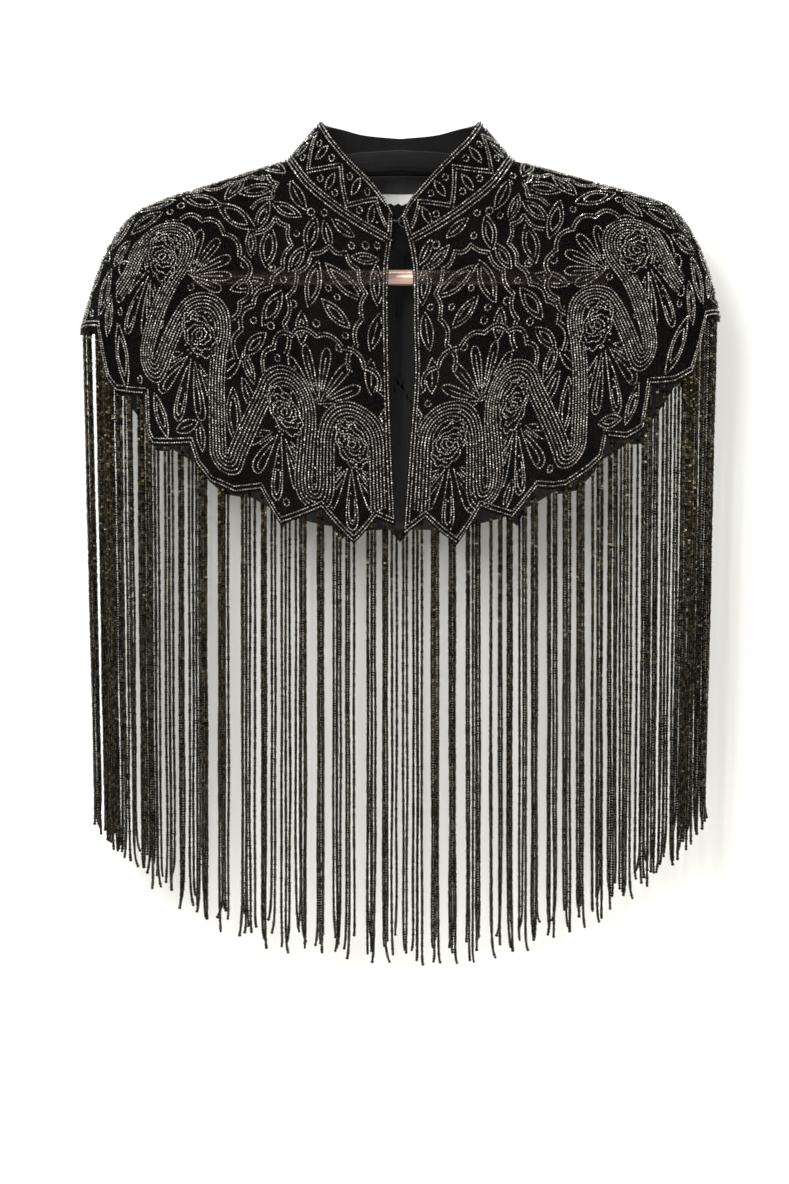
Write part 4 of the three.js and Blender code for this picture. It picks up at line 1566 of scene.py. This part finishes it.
def wire_piece(name, points, finish, node):
    """A round wire through points in millimetres, as a mesh."""
    data = bpy.data.curves.new(name, "CURVE")
    data.dimensions = "3D"
    data.bevel_depth = WIRE_RADIUS * MM
    data.bevel_resolution = 5
    data.use_fill_caps = True
    spline = data.splines.new("BEZIER")
    spline.bezier_points.add(len(points) - 1)
    spline.resolution_u = 10
    for place, knot in zip(points, spline.bezier_points):
        knot.co = Vector(place) * MM
        knot.handle_left_type = knot.handle_right_type = "AUTO"
    holder = bpy.data.objects.new(name, data)
    bpy.context.scene.collection.objects.link(holder)
    depsgraph = bpy.context.evaluated_depsgraph_get()
    mesh = bpy.data.meshes.new_from_object(holder.evaluated_get(depsgraph))
    bpy.data.objects.remove(holder)
    return as_piece(mesh, name, finish, [node])


class CAPE_OT_closure(bpy.types.Operator):
    """Bend the wire hook and eye at the neck"""

    bl_idname = "cape.closure"
    bl_label = "Hook and Eye"

    def execute(self, context):
        finish = lacquer_finish("black_wire", context.scene.cape_hanger.arm_colour, 0.3)
        y, z = CLOSURE_DEPTH, CLOSURE_HEIGHT
        hook = [
            (-15, y, z + 3),
            (-8, y, z + 1),
            (-1, y, z),
            (2.4, y + 1.6, z),
            (0.2, y + 3.8, z),
            (-4.5, y + 4, z),
        ]
        eye = [
            (8, y + 1.2, z + 5.5),
            (2, y + 1.9, z + 4.5),
            (-1.4, y + 2, z),
            (2, y + 1.9, z - 4.5),
            (8, y + 1.2, z - 5.5),
        ]
        wire_piece("neck_hook_wire", hook, finish, "closure_hook")
        wire_piece("neck_eye_wire", eye, finish, "closure_eye")
        return {"FINISHED"}


class CAPE_OT_hanger(bpy.types.Operator):
    """Finish the hanger's arms, brackets and trouser rod"""

    bl_idname = "cape.hanger"
    bl_label = "Hanger"

    def execute(self, context):
        settings = context.scene.cape_hanger
        arms = lacquer_finish("arm_lacquer", settings.arm_colour, 0.8, coat=0.0, shine=0.12)
        plates = lacquer_finish("bracket_lacquer", settings.arm_colour, 0.32)
        for name, node in frame["nodes"].items():
            if name.startswith(("hanger_arm", "rod_bracket")):
                node.data.materials.clear()
                node.data.materials.append(arms if name.startswith("hanger_arm") else plates)
        bm = bmesh.new()
        bmesh.ops.create_cone(
            bm,
            segments=settings.rod_sides,
            radius1=ROD_RADIUS * MM,
            radius2=ROD_RADIUS * MM,
            depth=2 * ROD_HALF_LENGTH * MM,
            cap_ends=True,
        )
        rims = [e for e in bm.edges if abs(e.verts[0].co.z - e.verts[1].co.z) < 1e-6]
        bmesh.ops.bevel(bm, geom=rims, offset=0.0008, affect="EDGES", segments=3, profile=0.5, material=-1)
        for vert in bm.verts:
            x, y, z = vert.co
            vert.co = (z, y, -x - ROD_DROP * MM)
        bmesh.ops.recalc_face_normals(bm, faces=bm.faces[:])
        as_piece(bm, "trouser_rod", copper_finish(settings.rod_colour), ["hanger_rod"])
        return {"FINISHED"}


def flat_stage(name, corners, facing, finish):
    """A flat rectangle of the stage, with its face towards the given way."""
    bm = bmesh.new()
    made = bmesh.ops.contextual_create(bm, geom=[bm.verts.new(corner) for corner in corners])["faces"][0]
    made.normal_update()
    if made.normal.dot(Vector(facing)) < 0:
        made.normal_flip()
    mesh = bpy.data.meshes.new(name)
    bm.to_mesh(mesh)
    bm.free()
    made = bpy.data.objects.new(name, mesh)
    bpy.context.scene.collection.objects.link(made)
    made.data.materials.append(finish)
    return made


def soft_light(name, place, target, width, height, power):
    """A rectangular lamp that faces its target."""
    lamp = bpy.data.lights.new(name, "AREA")
    lamp.shape = "RECTANGLE"
    lamp.size, lamp.size_y = width, height
    lamp.energy = power
    light = bpy.data.objects.new(name, lamp)
    light.location = place
    light.rotation_euler = (Vector(target) - Vector(place)).to_track_quat("-Z", "Y").to_euler()
    bpy.context.scene.collection.objects.link(light)


class CAPE_OT_stage(bpy.types.Operator):
    """Set the floor, the board behind the cape, the lights and the camera"""

    bl_idname = "cape.stage"
    bl_label = "Stage"

    def execute(self, context):
        scene = context.scene
        s = scene.cape_stage
        camera = bpy.data.cameras.new("photograph")
        camera.sensor_width = SENSOR
        camera.lens = SENSOR * s.distance / (PHOTO_HEIGHT * s.scale)
        camera.dof.use_dof = False
        holder = bpy.data.objects.new("photograph", camera)
        holder.location = (s.camera_x, -s.distance, s.camera_z)
        holder.rotation_euler = (math.radians(90), 0, 0)
        scene.collection.objects.link(holder)
        scene.camera = holder

        floor = -s.floor_drop
        corners = [(-4, -4, floor), (4, -4, floor), (4, 4, floor), (-4, 4, floor)]
        flat_stage("floor", corners, (0, 0, 1), stage_finish("pale_floor", s.pale))
        x, z, back = s.camera_x, s.camera_z, s.board_back
        corners = [(x + a * 0.43, back, z + b * 0.62) for a, b in ((-1, -1), (1, -1), (1, 1), (-1, 1))]
        board_finish = stage_finish("pale_board", s.pale, see_through_behind=True)
        board = flat_stage("board", corners, (0, -1, 0), board_finish)
        board.visible_shadow = False

        middle = (0, 0, -0.35)
        soft_light("key_light", (-0.7, -2.2, 0.45), middle, 0.9, 0.9, s.key_power)
        soft_light("fill_light", (1.3, -1.8, 0.3), middle, 1.0, 1.4, s.fill_power)
        soft_light("top_light", (0.1, -0.4, 1.6), middle, 1.2, 0.6, 0.3 * s.fill_power)
        soft_light("back_light_left", (-1.5, 1.9, 0.6), middle, 1.0, 1.2, s.back_power)
        soft_light("back_light_right", (1.5, 1.9, 0.4), middle, 1.0, 1.2, s.back_power)

        world = bpy.data.worlds.new("pale_room")
        world.use_nodes = True
        background = world.node_tree.nodes["Background"]
        background.inputs["Color"].default_value = (1.0, 1.0, 1.0, 1.0)
        background.inputs["Strength"].default_value = s.world_strength
        scene.world = world
        scene.view_settings.view_transform = "Standard"
        scene.view_settings.look = "None"
        return {"FINISHED"}


SETTINGS = {
    "cape_cloth": CapeCloth,
    "cape_beads": CapeBeads,
    "cape_fringe": CapeFringe,
    "cape_hanger": CapeHanger,
    "cape_stage": CapeStage,
}
OPERATORS = [
    CAPE_OT_stage,
    CAPE_OT_hanger,
    CAPE_OT_fringe,
    CAPE_OT_embroidery,
    CAPE_OT_net,
    CAPE_OT_satin,
    CAPE_OT_label,
    CAPE_OT_closure,
]


class CAPE_PT_sidebar(bpy.types.Panel):
    """Lists the cape's settings and the pieces that can be made"""

    bl_idname = "CAPE_PT_sidebar"
    bl_label = "Beaded Cape"
    bl_space_type = "VIEW_3D"
    bl_region_type = "UI"
    bl_category = "Cape"

    def draw(self, context):
        for group in SETTINGS:
            settings = getattr(context.scene, group)
            box = self.layout.box()
            for name in settings.bl_rna.properties.keys():
                if name not in ("rna_type", "name"):
                    box.prop(settings, name)
        for operator in OPERATORS:
            self.layout.operator(operator.bl_idname)


def register():
    for made in (*SETTINGS.values(), *OPERATORS, CAPE_PT_sidebar):
        bpy.utils.register_class(made)
    for name, group in SETTINGS.items():
        setattr(bpy.types.Scene, name, PointerProperty(type=group))


def unregister():
    for name in SETTINGS:
        delattr(bpy.types.Scene, name)
    for made in (CAPE_PT_sidebar, *reversed(OPERATORS), *SETTINGS.values()):
        bpy.utils.unregister_class(made)


def main():
    register()
    for operator in OPERATORS:
        group, name = operator.bl_idname.split(".")
        getattr(getattr(bpy.ops, group), name)()


if __name__ == "__main__":
    main()
